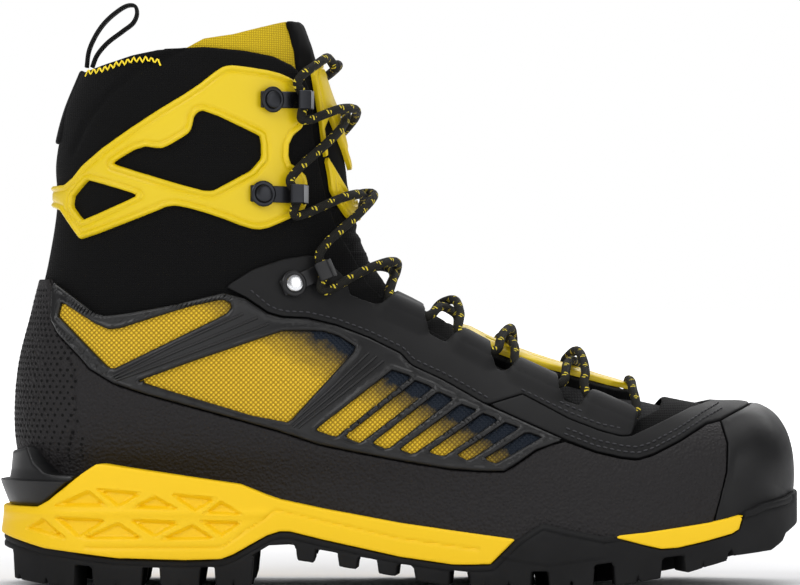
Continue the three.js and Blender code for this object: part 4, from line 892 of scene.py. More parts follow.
ledge = makeSheet("heelCramponLedge", wallSurface, (0, planLength, 30, 56), (1.4, 1.0),
                  lambda at, n: {"s": sideField(ledgeSide, at, n), "z": at[:, 2]}, ledgeHeight,
                  finishes["blackPlastic"], cuts=[("z", 40), ("z", 41), ("z", 41.6)], bottom=-14.0,
                  rounded=1.2)
standsFor("heel_crampon_ledge")

outsoleSide = [[-175, 25.2], [-155, 20.3], [-136, 15.2], [-108.4, 11.7], [-81.9, 10.9], [-68, 11.3],
               [-63.6, 13.1], [-50.7, 20.3], [-46, 21.8], [-42, 21.8], [-29.6, 18.7], [0, 12.2],
               [19.9, 9.4], [27.7, 9.4], [34.5, 9.7], [43.9, 19.1], [53.8, 25.6], [64.7, 23], [78, 20.5],
               [94.4, 22.7], [119, 26.2], [132.6, 29.6], [135.4, 30.4], [140, 32.4], [149.8, 34.3],
               [158, 37.8], [175, 37.8], [175, 25.7], [158, 25.7], [149, 20.7], [147.4, 17.6], [143, 14.6],
               [128, 12.9], [126.5, 16], [111.2, 13.7], [99.5, 12.5], [78, 10.5], [55.8, 7.4], [25, 7],
               [0, 9.8], [-42, 17.2], [-50, 16.8], [-59, 11.4], [-67, 8.7], [-82, 8.2], [-116, 8.6],
               [-134, 10.2], [-151, 14.5], [-175, 19]]
# Each lug block: its ends in x, the heights of its foot there, its top, and its bands across the sole.
lugs = [
    ((-150, -124), (3.2, 0), 16, ((-60, -9), (9, 60))),
    ((-118, -98), (0, 0), 11, ((-60, -20), (-13, 13), (20, 60))),
    ((-92, -76), (0, 0), 11, ((-60, -20), (20, 60))),
    ((-71, -56), (0, 1), 12, ((-60, -22), (-14, 14), (22, 60))),
    ((-40, -32), (11, 10), 18, ((-60, 60),)), ((-24, -16), (8.6, 7.6), 14, ((-60, 60),)),
    ((-9, -1), (6, 5), 12, ((-60, 60),)), ((5, 19), (3.6, 1.4), 10, ((-60, -20), (-13, 13), (20, 60))),
    ((26, 50), (0, 0), 9, ((-60, -24), (24, 60))), ((32, 44), (0, 0), 9, ((-17, 17),)),
    ((56, 74), (0, 0.8), 10, ((-60, -24), (24, 60))), ((52, 64), (0, 0.4), 9, ((-17, 17),)),
    ((81, 100), (1.6, 4.6), 14, ((-60, -22), (22, 60))), ((72, 86), (1, 2.6), 12, ((-15, 15),)),
    ((108, 126), (6.4, 11), 17, ((-60, -18), (20, 60))), ((96, 112), (4.4, 7.4), 15, ((-12, 14),)),
    ((120, 134), (9, 12.6), 18, ((-10, 12),)),
]
notches = [(-147, 3.4), (-136, 2.6), (-130, 1.6), (-108, 2), (-84, 1.8), (-64, 1.8), (32.8, 2.6), (41, 1.6),
           (65, 2.2), (90, 4.6), (116, 9.8)]
windowSpace = [[80.2, 20.4], [80.8, 21.3], [94.4, 22.7], [119, 26.1], [132.6, 29.3], [130.3, 22.8],
               [127.2, 20.9], [114.7, 17.8], [105.7, 15.9], [99.5, 15.5], [94.2, 16.6]]
wedge = [[36.7, 12.1], [44.1, 19.1], [53.8, 25.3], [64.7, 23], [78, 20.3], [78, 12], [56, 9]]


outsoleWall = {"wedge": 0.7, "lip": 0.5, "toe": 0.5, "depth": 17.0, "rounding": 0.9}
tread = {"edge": 7.5, "base": 3, "sipeDepth": 1.8, "sipeWidth": 0.5, "slope": 1.1}
pastEdge = 60  # a band that reaches this far runs out over the sole's edge


def outsoleFields(at, normal):
    s = sideField(outsoleSide, at, normal)
    for (a, b), (za, zb), top, bands in lugs:
        if max(abs(y) for band in bands for y in band) >= pastEdge:
            block = [[a, top], [a + 0.8, za + 0.15], [b - 0.8, zb + 0.15], [b, top]]
            s = np.maximum(s, sideField(block, at, normal))
    for x, z in notches:
        s = np.minimum(s, -sideField([[x - 1.1, z - 4], [x - 0.2, z + 1.6], [x + 0.5, z + 1.6],
                                      [x + 1.2, z - 4]], at, normal))
    s = np.minimum(s, -sideField(windowSpace, at, normal))
    return {"s": s, "wedge": sideField(wedge, at, normal), "z": at[:, 2], "x": at[:, 0],
            "lip": lineDistance(outsoleSide[:25], at)}


def outsoleHeight(table):
    wedgeIn = outsoleWall["wedge"] * (1 - smoothStep(table["wedge"], 0, 1.2))
    lip = outsoleWall["lip"] * bumpOf(table["lip"] - 2.4, 0.5)
    return outsoleWall["toe"] * smoothStep(table["x"], 128, 140) - wedgeIn - lip


wall = makeSheet("outsoleWall", wallSurface, (0, planLength, -0.5, 40), (1.5, 1.2), outsoleFields,
                 outsoleHeight, finishes["soleRubber"], None,
                 cuts=[("wedge", 0), ("wedge", 1.2), ("lip", 1.8), ("lip", 2.4), ("lip", 3.0)],
                 bottom=-outsoleWall["depth"], rounded=outsoleWall["rounding"])
# The tread's base between the lugs, from the heel to the toe.
baseLine = np.array([[-151, 14.5], [-134, 10.2], [-116, 8.6], [-82, 8.2], [-67, 8.7], [-59, 11.4],
                     [-50, 16.8], [-42, 17.2], [0, 9.8], [25, 7], [55.8, 7.4], [78, 10.5], [99.5, 12.5],
                     [111.2, 13.7], [126.5, 16], [128, 12.9], [143, 14.6], [147.4, 17.6], [151, 22]])


def treadSurface(x, y):
    return np.column_stack([x, y, 0 * x]), np.column_stack([0 * x, 0 * x, 0 * x - 1])


# A lug in plan: a block with cut corners, or one that runs out over the sole's edge.
def lugShape(a, b, y0, y1):
    if y0 > -pastEdge and y1 < pastEdge:
        return [[a, y0 + 4], [a, y1 - 4], [a + 4, y1], [b - 3, y1], [b, y1 - 3], [b, y0 + 3], [b - 3, y0],
                [a + 4, y0]]
    if y0 <= -pastEdge and y1 >= pastEdge:
        return [[a, y0], [b, y0], [b, y1], [a, y1]]
    rim, tip, back = (y0, y1, 3) if y0 <= -pastEdge else (y1, y0, -3)
    return [[a, rim], [b, rim], [b, tip - back], [b + 2, tip], [a + 5, tip], [a, tip - back]]


def treadFields(at, normal):
    x, y = at[:, 0], at[:, 1]
    base = np.interp(x, baseLine[:, 0], baseLine[:, 1])
    lug, low, sipe = np.full(len(x), -99.0), base.copy(), np.full(len(x), 9.0)
    for (a, b), (za, zb), _, bands in lugs:
        for y0, y1 in bands:
            d = distanceTo(lugShape(a, b, y0, y1), x, y)[0]
            inside = d > lug
            lug = np.where(inside, d, lug)
            low = np.where(inside & (d > -0.2), za + (zb - za) * np.clip((x - a) / (b - a), 0, 1), low)
            if b - a > 13:  # long lugs have a sipe
                middle = [[(a + b) / 2, y0 * 0.8 + y1 * 0.2], [(a + b) / 2 + 2, y0 * 0.2 + y1 * 0.8]]
                sipe = np.minimum(sipe, distanceTo(middle, x, y, closed=False)[0])
    return {"s": distanceTo(planCurve, x, y)[0] - tread["edge"], "lug": lug, "base": base, "low": low,
            "sipe": sipe}


def treadHeight(table):
    depth = smoothStep(table["lug"], 0, tread["slope"])
    z = table["base"] + (table["low"] - table["base"]) * depth
    return -(z + tread["sipeDepth"] * bumpOf(table["sipe"], tread["sipeWidth"]) * depth)


treadSheet = makeSheet("tread", treadSurface, (-150, 150, -50, 50), (1.5, 1.5), treadFields, treadHeight,
                       finishes["soleRubber"], None,
                       cuts=[("lug", 0), ("lug", tread["slope"]), ("sipe", 0.35), ("sipe", 0.8)],
                       bottom=lambda t: -(t["base"] + tread["base"]), rounded=0.1, edgeDrop=0.0, edgeCuts=())
outsole = join("outsoleTread", [wall, treadSheet])
standsFor("outsole")
print("sole")


# Inside the boot: lining, footbed, collar padding, tongues and the gusset between.
throatHalf = np.array([[-78, -20.6], [-20, -20.6], [10, -16.6], [45, -10.6], [84, -5.6], [92.6, 1],
                       [92.6, 12], [84, 17.6], [45, 22.6], [10, 22.6], [-20, 20.6], [-78, 20.6]])


def planDistance(outline, at):
    return distanceTo(outline, at[:, 0], at[:, 1])[0]


# Depths are from the softshell's face inwards; the swell is how far cloth may puff a pad, in metres.
inside = {"lining": (3.8, 6.8), "liningTop": 168.5, "footbed": (7.1, 11.1), "throatFloor": 58}
pad = {"voxel": 0.0022, "pressure": 4.0, "frames": 20, "mass": 0.15}
collarPad = {"depth": (4.6, 7.6), "frontGap": 5.0, "channel": 181, "heldBelow": 170, "swell": 0.0014,
             "fill": 0.6, "rounding": 1.4}
tongue = {"upper": (0.9, 3.6), "lower": (0.5, 4.4), "foot": 137.4, "swell": 0.0008, "upperFill": 0.5,
          "lowerFill": 0.4, "ribDepth": 0.5, "ribPitch": 9}


# Cloth swells the pad for a moment; its edge and its back are held, and no point moves past the limit.
def inflate(piece, limit, held):
    remesh = piece.modifiers.new("remesh", "REMESH")
    remesh.mode = "VOXEL"
    remesh.voxel_size = pad["voxel"]
    bpy.context.view_layer.objects.active = piece
    bpy.ops.object.select_all(action="DESELECT")
    piece.select_set(True)
    bpy.ops.object.modifier_apply(modifier="remesh")
    count = len(piece.data.vertices)
    start = np.empty(count * 3)
    piece.data.vertices.foreach_get("co", start)
    start = start.reshape(-1, 3)
    pin = piece.vertex_groups.new(name="held")
    for i in np.flatnonzero(held(start / mm - patternShift)):
        pin.add([int(i)], 1.0, "REPLACE")
    cloth = piece.modifiers.new("cloth", "CLOTH")
    cloth.settings.quality = 5
    cloth.settings.mass = pad["mass"]
    cloth.settings.use_pressure = True
    cloth.settings.uniform_pressure_force = pad["pressure"]
    cloth.settings.effector_weights.gravity = 0
    cloth.settings.vertex_group_mass = "held"
    cloth.collision_settings.use_self_collision = False
    cloth.point_cache.frame_start, cloth.point_cache.frame_end = 1, pad["frames"]
    scene = bpy.context.scene
    for number in range(1, pad["frames"] + 1):
        scene.frame_set(number)
    puffed = piece.evaluated_get(bpy.context.evaluated_depsgraph_get())
    moved = np.empty(count * 3)
    puffed.data.vertices.foreach_get("co", moved)
    moved = moved.reshape(-1, 3) - start
    size = np.linalg.norm(moved, axis=1, keepdims=True)
    moved *= np.minimum(1, limit / np.maximum(size, 1e-9))
    piece.modifiers.remove(cloth)
    piece.vertex_groups.remove(pin)
    piece.data.vertices.foreach_set("co", (start + moved).ravel())
    scene.frame_set(1)
    smooth = piece.modifiers.new("subdivision", "SUBSURF")
    smooth.levels = smooth.render_levels = 1
    bpy.ops.object.modifier_apply(modifier="subdivision")
    piece.data.shade_smooth()


def liningFields(at, normal):
    outside = np.maximum(-planDistance(throatHalf, at), inside["throatFloor"] - at[:, 2])
    return {"s": np.minimum(outside, inside["liningTop"] - at[:, 2] - 0.05 * at[:, 0])}


lining = makeSheet("lining", upperSurface, (1.2, 25.5, -math.pi, math.pi), (0.16, 0.05), liningFields,
                   -inside["lining"][0], finishes["liningFabric"], bottom=-inside["lining"][1])
standsFor("lining_bootie")

footbedSide = [[-134, 50], [-60, 44], [0, 38], [60, 33], [138, 36], [138, 0], [-134, 0]]
footbed = makeSheet("footbedCloth", upperSurface, (0.6, 24, 0.5 * math.pi, 1.5 * math.pi), (0.14, 0.045),
                    lambda at, n: {"s": sideField(footbedSide, at, n)}, -inside["footbed"][0],
                    finishes["footbedCloth"], bottom=-inside["footbed"][1])
standsFor("footbed")

# The padded collar: a swollen ring with a stitched channel round it.
collarTop = [[-150, 197], [-122, 197.6], [-117, 198.3], [-110, 203.4], [-103, 206], [-92.8, 207.6],
             [-75, 208.6], [-59, 207.6], [-48, 205], [-41, 201], [-34, 196], [-26, 190], [-20, 160],
             [-60, 164], [-150, 169.5]]


def collarFields(at, normal):
    front = -planDistance(throatHalf, at) - collarPad["frontGap"]
    return {"s": np.minimum(sideField(collarTop, at, normal), front)}


collar = makeSheet("collarPadding", upperSurface, (21, 28, -math.pi, math.pi), (0.16, 0.05), collarFields,
                   -collarPad["depth"][0], finishes["collarFabric"], bottom=-collarPad["depth"][1],
                   rounded=collarPad["rounding"])
inflate(collar, collarPad["swell"],
        lambda p: (np.abs(p[:, 2] - collarPad["channel"]) < 1.2) | (p[:, 2] < collarPad["heldBelow"]))
standsFor("collar_padding")
print("collar")


# Upper tongue, padded, and the lower tongue down to the throat's end.
def tongueFields(at, normal):
    line = np.interp(at[:, 0], [-80, -46, -42, -36, 30], [209, 217.5, 219.8, 219.8, 219.8])
    edge = planDistance(throatHalf, at)
    return {"s": np.min([edge, at[:, 2] - tongue["foot"], (line - at[:, 2]) * 0.8], 0)}


tongueUpper = makeSheet("tongueUpper", upperSurface, (12, 28, -0.5 * math.pi, 0.5 * math.pi), (0.12, 0.036),
                        tongueFields, -tongue["upper"][0], finishes["softshell"], None,
                        bottom=-tongue["upper"][1], rounded=1.2)
inflate(tongueUpper, tongue["swell"], lambda p: p[:, 2] < tongue["foot"] + 2.1)
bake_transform(tongueUpper)
standsFor("tongue_upper")


# The lower tongue ends below the hinge and has grooves across it.
def lowerFields(at, normal):
    slant = (at[:, 0] * 0.9 - at[:, 2] * 0.4 + 200) % tongue["ribPitch"]
    return {"s": np.min([planDistance(throatHalf, at), tongue["foot"] - 0.6 - at[:, 2], at[:, 2] - 50], 0),
            "rib": np.abs(slant - tongue["ribPitch"] / 2)}


def lowerHeight(table):
    return -tongue["lower"][0] - tongue["ribDepth"] * bumpOf(table["rib"], 0.8)


tongueLower = makeSheet("tongueLower", upperSurface, (4, 20, -0.5 * math.pi, 0.5 * math.pi), (0.12, 0.03),
                        lowerFields, lowerHeight, finishes["softshell"], cuts=[("rib", 0.5), ("rib", 1.4)],
                        bottom=-tongue["lower"][1], rounded=1.6)
standsFor("tongue_lower")

# A soft fold behind the hinge line joins the two tongues.
fold = {"hinge": 137, "reach": 9, "wave": 0.5, "waves": 1.1, "depth": (0.7, 3.4), "sideGap": 0.4,
        "rounding": 1.4}


def foldFields(at, normal):
    across = fold["reach"] - np.abs(at[:, 2] - fold["hinge"])
    return {"s": np.minimum(planDistance(throatHalf, at) - fold["sideGap"], across), "z": at[:, 2]}


def foldHeight(table):
    return -fold["depth"][0] - fold["wave"] * np.cos((table["z"] - fold["hinge"]) * fold["waves"])


bellows = makeSheet("tongueBellows", upperSurface, (12, 20, -0.5 * math.pi, 0.5 * math.pi), (0.08, 0.03),
                    foldFields, foldHeight, finishes["softshell"], None, bottom=-fold["depth"][1],
                    rounded=fold["rounding"])
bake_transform(bellows)

# Moulded plates on the tongues, with slots.
upperPlate = [[-34.6, 200], [-33, 190], [-31, 178], [-30.4, 162], [-29, 155.6], [-22, 143.4], [-18.6, 140.6],
              [10, 140.6], [10, 204], [-31.4, 203]]
upperSlot = [[-28.1, 182], [-30.2, 176.5], [-28.6, 165.2], [-18.8, 148.4], [-17.4, 151.7], [-22.6, 168.5],
             [-25.7, 176]]
lowerPlan = [[23, -9], [45, -7], [66, -3.5], [82, 0], [89, 4], [89, 9], [82, 13], [66, 16], [45, 18],
             [23, 20]]
lowerSlots = [
    [[33, 0.5], [45, 1], [45, 6], [33, 6]], [[51, 1.6], [61, 2.4], [61, 6.6], [51, 6.6]],
    [[66, 3], [76, 3.8], [76, 6.6], [66, 6.8]],
]
plates = {"upperThickness": 1.9, "upperGroove": 0.5, "grooveInset": 2.2, "sideGap": 4.0,
          "lowerThickness": 1.8, "lowerSwell": 0.7, "swellOver": 4}


def upperPlateFields(at, normal):
    outline = sideField(smoothOutline(upperPlate), at, normal)
    within = planDistance(throatHalf, at) - plates["sideGap"]
    return {"s": np.min([within, outline, -sideField(upperSlot, at, normal)], 0)}


def upperPlateHeight(table):
    return plates["upperThickness"] - plates["upperGroove"] * bumpOf(table["s"] - plates["grooveInset"], 0.5)


tonguePlate = makeSheet("tonguePlate", upperSurface, (14, 27, -0.4 * math.pi, 0.4 * math.pi), (0.09, 0.024),
                        upperPlateFields, upperPlateHeight, finishes["yellowPlastic"], "tongue",
                        cuts=[("s", 1.8), ("s", 2.2), ("s", 2.6)])
standsFor("tongue_upper_plate")


def lowerPlateFields(at, normal):
    s = planDistance(lowerPlan, at)
    for slot in lowerSlots:
        s = np.minimum(s, -planDistance(slot, at))
    return {"s": s}


def lowerPlateHeight(table):
    return plates["lowerThickness"] + plates["lowerSwell"] * smoothStep(table["s"], 0, plates["swellOver"])


lowerPlate = makeSheet("lowerTonguePlate", upperSurface, (5, 14, -0.4 * math.pi, 0.4 * math.pi), (0.06, 0.02),
                       lowerPlateFields, lowerPlateHeight, finishes["yellowPlastic"])
standsFor("tongue_lower_plate")

# The yellow gusset that joins the tongue to the collar shows above the collar's front.
gussetCloth = {"depth": (2.5, 3.5), "overlap": 3}
gussetSide = [[-88, 202], [-86, 205], [-75, 210.8], [-63, 212.6], [-50.5, 216], [-42.5, 218.4],
              [-38.2, 219.4], [-30, 219], [-24, 180], [-36, 188], [-45, 195], [-60, 200]]


def gussetFields(at, normal):
    within = gussetCloth["overlap"] - planDistance(throatHalf, at)
    return {"s": np.minimum(sideField(gussetSide, at, normal), within)}


for side in both:
    gusset = makeSheet(f"gusset_{sideName[side]}", upperSurface, sideSpan(side, 21, 28, 0.02, math.pi),
                       (0.12, 0.04), gussetFields, -gussetCloth["depth"][0], finishes["yellowLining"], None,
                       bottom=-gussetCloth["depth"][1], rounded=0.5)
    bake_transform(gusset)
print("tongues")


# The lace, through the tunnels and round the hooks, in the surface's own coordinates.
hooks = [('ankle_lock_hook', (-41.9, 116.2), (-31.6, 120.6)),
         ('lower_speed_hook', (-53.6, 150.9), (-41.6, 150.5)),
         ('upper_speed_hook', (-50.7, 187.2), (-40.5, 187.2))]
hookWidth = 6.4
hookPlate = 1.0
hookTurn = hookWidth / 2 + laceDiameter + 1.2
hookDepth = 0.3 + 1.8 + 0.3
hookLaceDepth = hookDepth + hookPlate + 0.35 + laceRadius + 0.55
under = 0.3 + 1.6 + 0.5 + laceRadius
over = under + laceDiameter + 0.6


def waypoint(at, side, depth):
    u, turn = locate(at[0], at[1], side)
    return np.array([u[0], turn[0], depth])


def crossing(start, end, depth):
    middle = (start + end) / 2
    first, last = start * 0.75 + end * 0.25, start * 0.25 + end * 0.75
    first[2] = (depth + under + start[2]) / 3 + 1
    last[2] = (depth + under + end[2]) / 3 + 1
    return [first, np.array([middle[0], middle[1], depth]), last]


def laceHalf(side, crossDepth, ending):
    path = []
    for rear, front in tunnels:
        start, end = waypoint(front, side, tunnelDepth), waypoint(rear, side, tunnelDepth)
        if path:
            path += crossing(path[-1], start, crossDepth)
        path += [start, (start + end) / 2, end]
        side = -side
    for _, _, (x, z) in hooks:
        below = waypoint((x - 0.1, z - hookTurn), side, hookLaceDepth - 0.4)
        path += crossing(path[-1], below, crossDepth)
        path += [below, waypoint((x, z), side, hookLaceDepth),
                 waypoint((x - 1.7, z + hookTurn), side, hookLaceDepth - 0.4)]
        side = -side
    return path + [waypoint((x, z), where, depth) for x, z, where, depth in ending]


endsOver = [(-33, 203, outer, 5), (-28.2, 200, outer, 6), (-31, 200, inner, 6.5), (-44, 193, inner, 12),
            (-56, 180, inner, 9), (-62, 160, inner, 7)]
endsUnder = [(-45, 200.5, inner, 5.2), (-58, 202, inner, 5), (-70, 196, inner, 5), (-76, 182, inner, 5),
             (-78, 160, inner, 6)]


# A centripetal curve through points, evenly split between them.
def throughPoints(points, count):
    p = np.asarray(points, float)
    p = np.vstack([2 * p[0] - p[1], p, 2 * p[-1] - p[-2]])
    knots = np.maximum(np.linalg.norm(np.diff(p, axis=0), axis=1) ** 0.5, 1e-4)
    where = np.linspace(0, len(p) - 3, count)
    i = np.minimum(where.astype(int), len(p) - 4)
    f = (where - i)[:, None]
    a, b, c, d = p[i], p[i + 1], p[i + 2], p[i + 3]
    ka, kb, kc = (knots[i + k][:, None] for k in (0, 1, 2))
    slopeIn = ((b - a) / ka - (c - a) / (ka + kb) + (c - b) / kb) * kb
    slopeOut = ((c - b) / kb - (d - b) / (kb + kc) + (d - c) / kc) * kb
    return curveBetween(b, c, slopeIn, slopeOut, f)


def toSpace(path):
    path = np.asarray(path)
    at, normal = upperSurface(path[:, 0], path[:, 1])
    return at + normal * path[:, 2:3]


halfOver, halfUnder = laceHalf(outer, over, endsOver), laceHalf(inner, under, endsUnder)
toeBar = crossing(halfOver[0], halfUnder[0], under - 1)
way = halfOver[::-1] + toeBar + halfUnder
lacePath = toSpace(throughPoints(way, len(way) * 3 + 1))
laceLine = throughPoints(lacePath, len(lacePath) * 6)


# A round tube along a line; u runs along it and v round it, both in millimetres.
def makeTube(name, line, radii, material, sides=12):
    line = np.asarray(line, float)
    gaps = np.linalg.norm(np.diff(line, axis=0), axis=1)
    line = line[np.concatenate([[True], gaps > 1e-4])]
    run = runAlong(line)
    ahead = np.gradient(line, axis=0)
    ahead /= np.linalg.norm(ahead, axis=1, keepdims=True)
    side = np.cross(ahead[0], [0.3, 0.2, 1])
    frames = []
    for k in range(len(line)):
        side = side - ahead[k] * (side @ ahead[k])
        side /= np.linalg.norm(side)
        frames.append((side, np.cross(ahead[k], side)))
    turn = np.linspace(0, 2 * math.pi, sides, endpoint=False)
    size = np.broadcast_to(radii, len(line))
    rings = [line[k] + size[k] * (np.outer(np.cos(turn), frames[k][0]) + np.outer(np.sin(turn), frames[k][1]))
             for k in range(len(line))]
    points = np.vstack(rings + [line[:1], line[-1:]])
    faces = ringFaces(len(line), sides)
    end = len(line) * sides
    faces += [(end, (s + 1) % sides, s) for s in range(sides)]
    last = (len(line) - 1) * sides
    faces += [(end + 1, last + s, last + (s + 1) % sides) for s in range(sides)]
    piece = makeMesh(name, points, faces, material, angle=60)
    mesh = piece.data
    layer = mesh.uv_layers.new(name="UVMap")
    uv = []
    for face in mesh.polygons:
        corners = list(face.vertices)
        seam = {v % sides for v in corners if v < end} >= {0, sides - 1}
        for v in corners:
            k, s = (v // sides, v % sides) if v < end else (0 if v == end else len(line) - 1, 0)
            around = 1.0 if seam and s == 0 else s / sides
            uv += [run[k] * mm, around * mm]
    layer.data.foreach_set("uv", uv)
    return piece


# Past the last hook on each side the lace hangs free; between them it is held.
def nearestOnLace(waypointAt):
    return int(np.argmin(np.linalg.norm(laceLine - toSpace([waypointAt])[0], axis=1)))


freeFrom = nearestOnLace(way[len(endsOver)]), nearestOnLace(way[-1 - len(endsUnder)])
laceLines = {"laceEndOuter": laceLine[freeFrom[0]::-1], "laceRun": laceLine[freeFrom[0]:freeFrom[1] + 1],
             "laceEndInner": laceLine[freeFrom[1]:]}
for name, line in laceLines.items():
    print(f"{name} {runAlong(line)[-1]:.0f} mm")
    makeTube(name, line, laceRadius, finishes["laceCord"])
    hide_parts("lace")


# The lace's tips: how far along and how wide.
agletProfile = [(0, 1.3), (0.6, 1.7), (1.2, 1.78), (6, 1.72), (12, 1.66), (16.5, 1.6), (17.6, 1.3),
                (18.2, 0.7)]


def agletAt(name, end, before, node):
    ahead = (end - before) / np.linalg.norm(end - before)
    start = end + ahead * 0.05
    steps, radii = np.transpose(agletProfile)
    piece = makeTube(name, start + steps[:, None] * ahead, radii, finishes["laceTip"], 16)
    standsFor(node)
    return piece


aglets = {"laceEndOuter": agletAt("agletOuter", lacePath[0], lacePath[1], "lace_aglet_outer"),
          "laceEndInner": agletAt("agletInner", lacePath[-1], lacePath[-2], "lace_aglet_inner")}
for name, aglet in aglets.items():
    line = (laceLines[name] + patternShift) * mm
print("lace done")


# Speed hooks: a bent strap and a turned rivet with its washer, each seated on the boot's surface.
def hookSeat(rivet, at, side):
    middle = (np.array(rivet) + at) / 2
    p, n = upperSurface(*locate(*middle, side))
    towards = onUpper(*at, side)[0] - p[0]
    z = n[0]
    x = towards - z * (towards @ z)
    x /= np.linalg.norm(x)
    return p[0] + z * hookDepth, x, np.cross(z, x), z


def placed(seat, points):
    origin, x, y, z = seat
    points = np.asarray(points, float)
    return origin + points[:, :1] * x + points[:, 1:2] * y + points[:, 2:3] * z


def roundedProfile(points, radius):
    made = []
    count = len(points)
    for k in range(count):
        p, before, after = (np.array(points[i % count], float) for i in (k, k - 1, k + 1))
        a, b = before - p, after - p
        cut = min(radius, np.linalg.norm(a) * 0.45, np.linalg.norm(b) * 0.45)
        a, b = p + a / np.linalg.norm(a) * cut, p + b / np.linalg.norm(b) * cut
        made += [a * (1 - t) ** 2 + p * 2 * t * (1 - t) + b * t * t for t in (0, 0.33, 0.67, 1)]
    return np.array(made)


# A bent strap with chamfered sides; where it is worn, the lip's top slope is bare metal.
strap = {"back": 5, "lip": 3.6, "chamfer": 0.3, "headGap": 0.7, "rounding": 0.6, "waist": 0.22, "flare": 1.14,
         "wornFacing": 0.96}


def hookPiece(name, node, reach, seat, material, worn):
    headUnder = hookPlate + strap["headGap"] + laceDiameter + 0.3
    neck = reach + laceRadius + 1.5
    top = headUnder + 1.2
    profile = [[-reach - strap["back"], 0], [neck + 1.2, 0], [neck + 1.2, top - 2.4], [neck - 1.9, top + 0.2],
               [reach - strap["lip"], top + 0.2], [reach - strap["lip"] - 0.3, headUnder], [neck, headUnder],
               [neck, hookPlate], [-reach - strap["back"], hookPlate]]
    outline = roundedProfile(profile, strap["rounding"])
    along = np.roll(outline, -1, 0) - np.roll(outline, 1, 0)
    out = np.stack([along[:, 1], -along[:, 0]], 1)
    out /= np.maximum(np.linalg.norm(out, axis=1, keepdims=True), 1e-9)
    waist = 1 - strap["waist"] * np.exp(-((outline[:, 0] - reach * 0.1) / 2.6) ** 2)
    width = np.where(outline[:, 1] < hookPlate + 0.1, waist, strap["flare"])
    half = hookWidth / 2
    mesh = bmesh.new()
    rings = []
    for y, inset in ((-half, 1), (-half + strap["chamfer"], 0), (half - strap["chamfer"], 0), (half, 1)):
        flat = outline - out * inset * strap["chamfer"]
        ring = placed(seat, np.column_stack([flat[:, 0], y * width, flat[:, 1]])) + patternShift
        rings.append([mesh.verts.new(p) for p in (ring * mm).tolist()])
    count = len(outline)
    for a, b in zip(rings, rings[1:]):
        for k in range(count):
            mesh.faces.new((a[k], a[(k + 1) % count], b[(k + 1) % count], b[k]))
    mesh.faces.new(rings[0][::-1])
    mesh.faces.new(rings[-1])
    bmesh.ops.recalc_face_normals(mesh, faces=mesh.faces)
    data = bpy.data.meshes.new(name)
    mesh.to_mesh(data)
    mesh.free()
    data.materials.append(material)
    data.materials.append(finishes["wornMetal"])
    slope = Vector((seat[1] * 0.64 + seat[3] * 0.77).tolist())
    for face in data.polygons:
        if worn and face.normal.dot(slope) > strap["wornFacing"]:
            face.material_index = 1
    data.shade_smooth()
    data.set_sharp_from_angle(angle=math.radians(32))
    piece = bpy.data.objects.new(name, data)
    bpy.context.scene.collection.objects.link(piece)
    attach(piece, "boot")
    standsFor(node)


def latheAt(name, seat, shift, profile, material, sides=40):
    turn = np.linspace(0, 2 * math.pi, sides, endpoint=False)
    points = [(shift + r * math.cos(a), r * math.sin(a), z) for r, z in profile for a in turn]
    faces = ringFaces(len(profile), sides)
    faces += [tuple(range(sides))[::-1], tuple(range(len(points) - sides, len(points)))]
    return makeMesh(name, placed(seat, points), faces, material, None, angle=35)


washer = [[3.0, 0.95], [4.6, 0.95], [5.0, 1.1], [5.0, 1.45], [4.7, 1.75], [4.2, 1.9], [3.6, 1.75], [3.3, 1.6]]
button = [[1.5, -3.7], [1.5, 1.2], [3.3, 1.5], [3.35, 2.1], [3.1, 2.5], [2.5, 2.75], [1.4, 2.85], [0.5, 2.88]]
for side in both:
    for name, rivet, at in hooks:
        reach = float(np.linalg.norm(onUpper(*rivet, side) - onUpper(*at, side))) / 2
        seat = hookSeat(rivet, at, side)
        silver = name == "ankle_lock_hook"
        label = f"{name}_{sideName[side]}"
        hookPiece(label.replace("_hook", "Hook"), label, reach, seat,
                  finishes["hookBlack" if silver else "gunmetal"], not silver)
        parts = [latheAt("a", seat, -reach, washer, finishes["hookBlack" if silver else "gunmetal"]),
                 latheAt("b", seat, -reach, button, finishes["steel" if silver else "gunmetal"])]
        rivetPiece = join(label.replace("_hook", "Rivet"), parts)
        standsFor(f"{name}_rivet_{sideName[side]}")
print("hooks")

# Pull loop: a webbing strap standing up from the back of the collar, stitched down by a tape.
pullLoop = {"width": 10, "thickness": 1.4, "steps": 90}
loopPath = [(-122, 200.9), (-121.2, 207), (-119, 212.4), (-115.6, 217.6), (-111, 222), (-106, 225.0),
            (-103.2, 224.8), (-102.4, 222), (-103.8, 218.4), (-108, 215), (-114, 210.4), (-118, 205.6),
            (-119.9, 200.9)]
loopLine = throughPoints(loopPath, pullLoop["steps"])
ahead = np.gradient(loopLine, axis=0)
ahead /= np.linalg.norm(ahead, axis=1, keepdims=True)
out = np.stack([-ahead[:, 1], ahead[:, 0]], 1)
edge = [(-5, -0.3), (-4.7, -0.62), (-2.5, -0.68), (0, -0.7), (2.5, -0.68), (4.7, -0.62), (5, -0.3)]
section = np.array(edge + [(-y, -t) for y, t in edge]) * [pullLoop["width"] / 10, pullLoop["thickness"] / 1.4]
points, loopUv = [], []
for place, aside, run in zip(loopLine, out, runAlong(loopLine)):
    for y, t in section:
        px, pz = place + aside * t
        points.append((px, y, pz))
        loopUv.append((run, y))
count = len(section)
faces = ringFaces(len(loopLine), count)
faces += [tuple(range(count))[::-1], tuple(range(len(points) - count, len(points)))]
loop = makeMesh("pullLoop", points, faces, finishes["webbing"], "pull_loop", loopUv,
                angle=50)
standsFor("pull_loop")

backTape = {"halfWidth": 9, "from": 171, "to": 199, "height": 1.5}


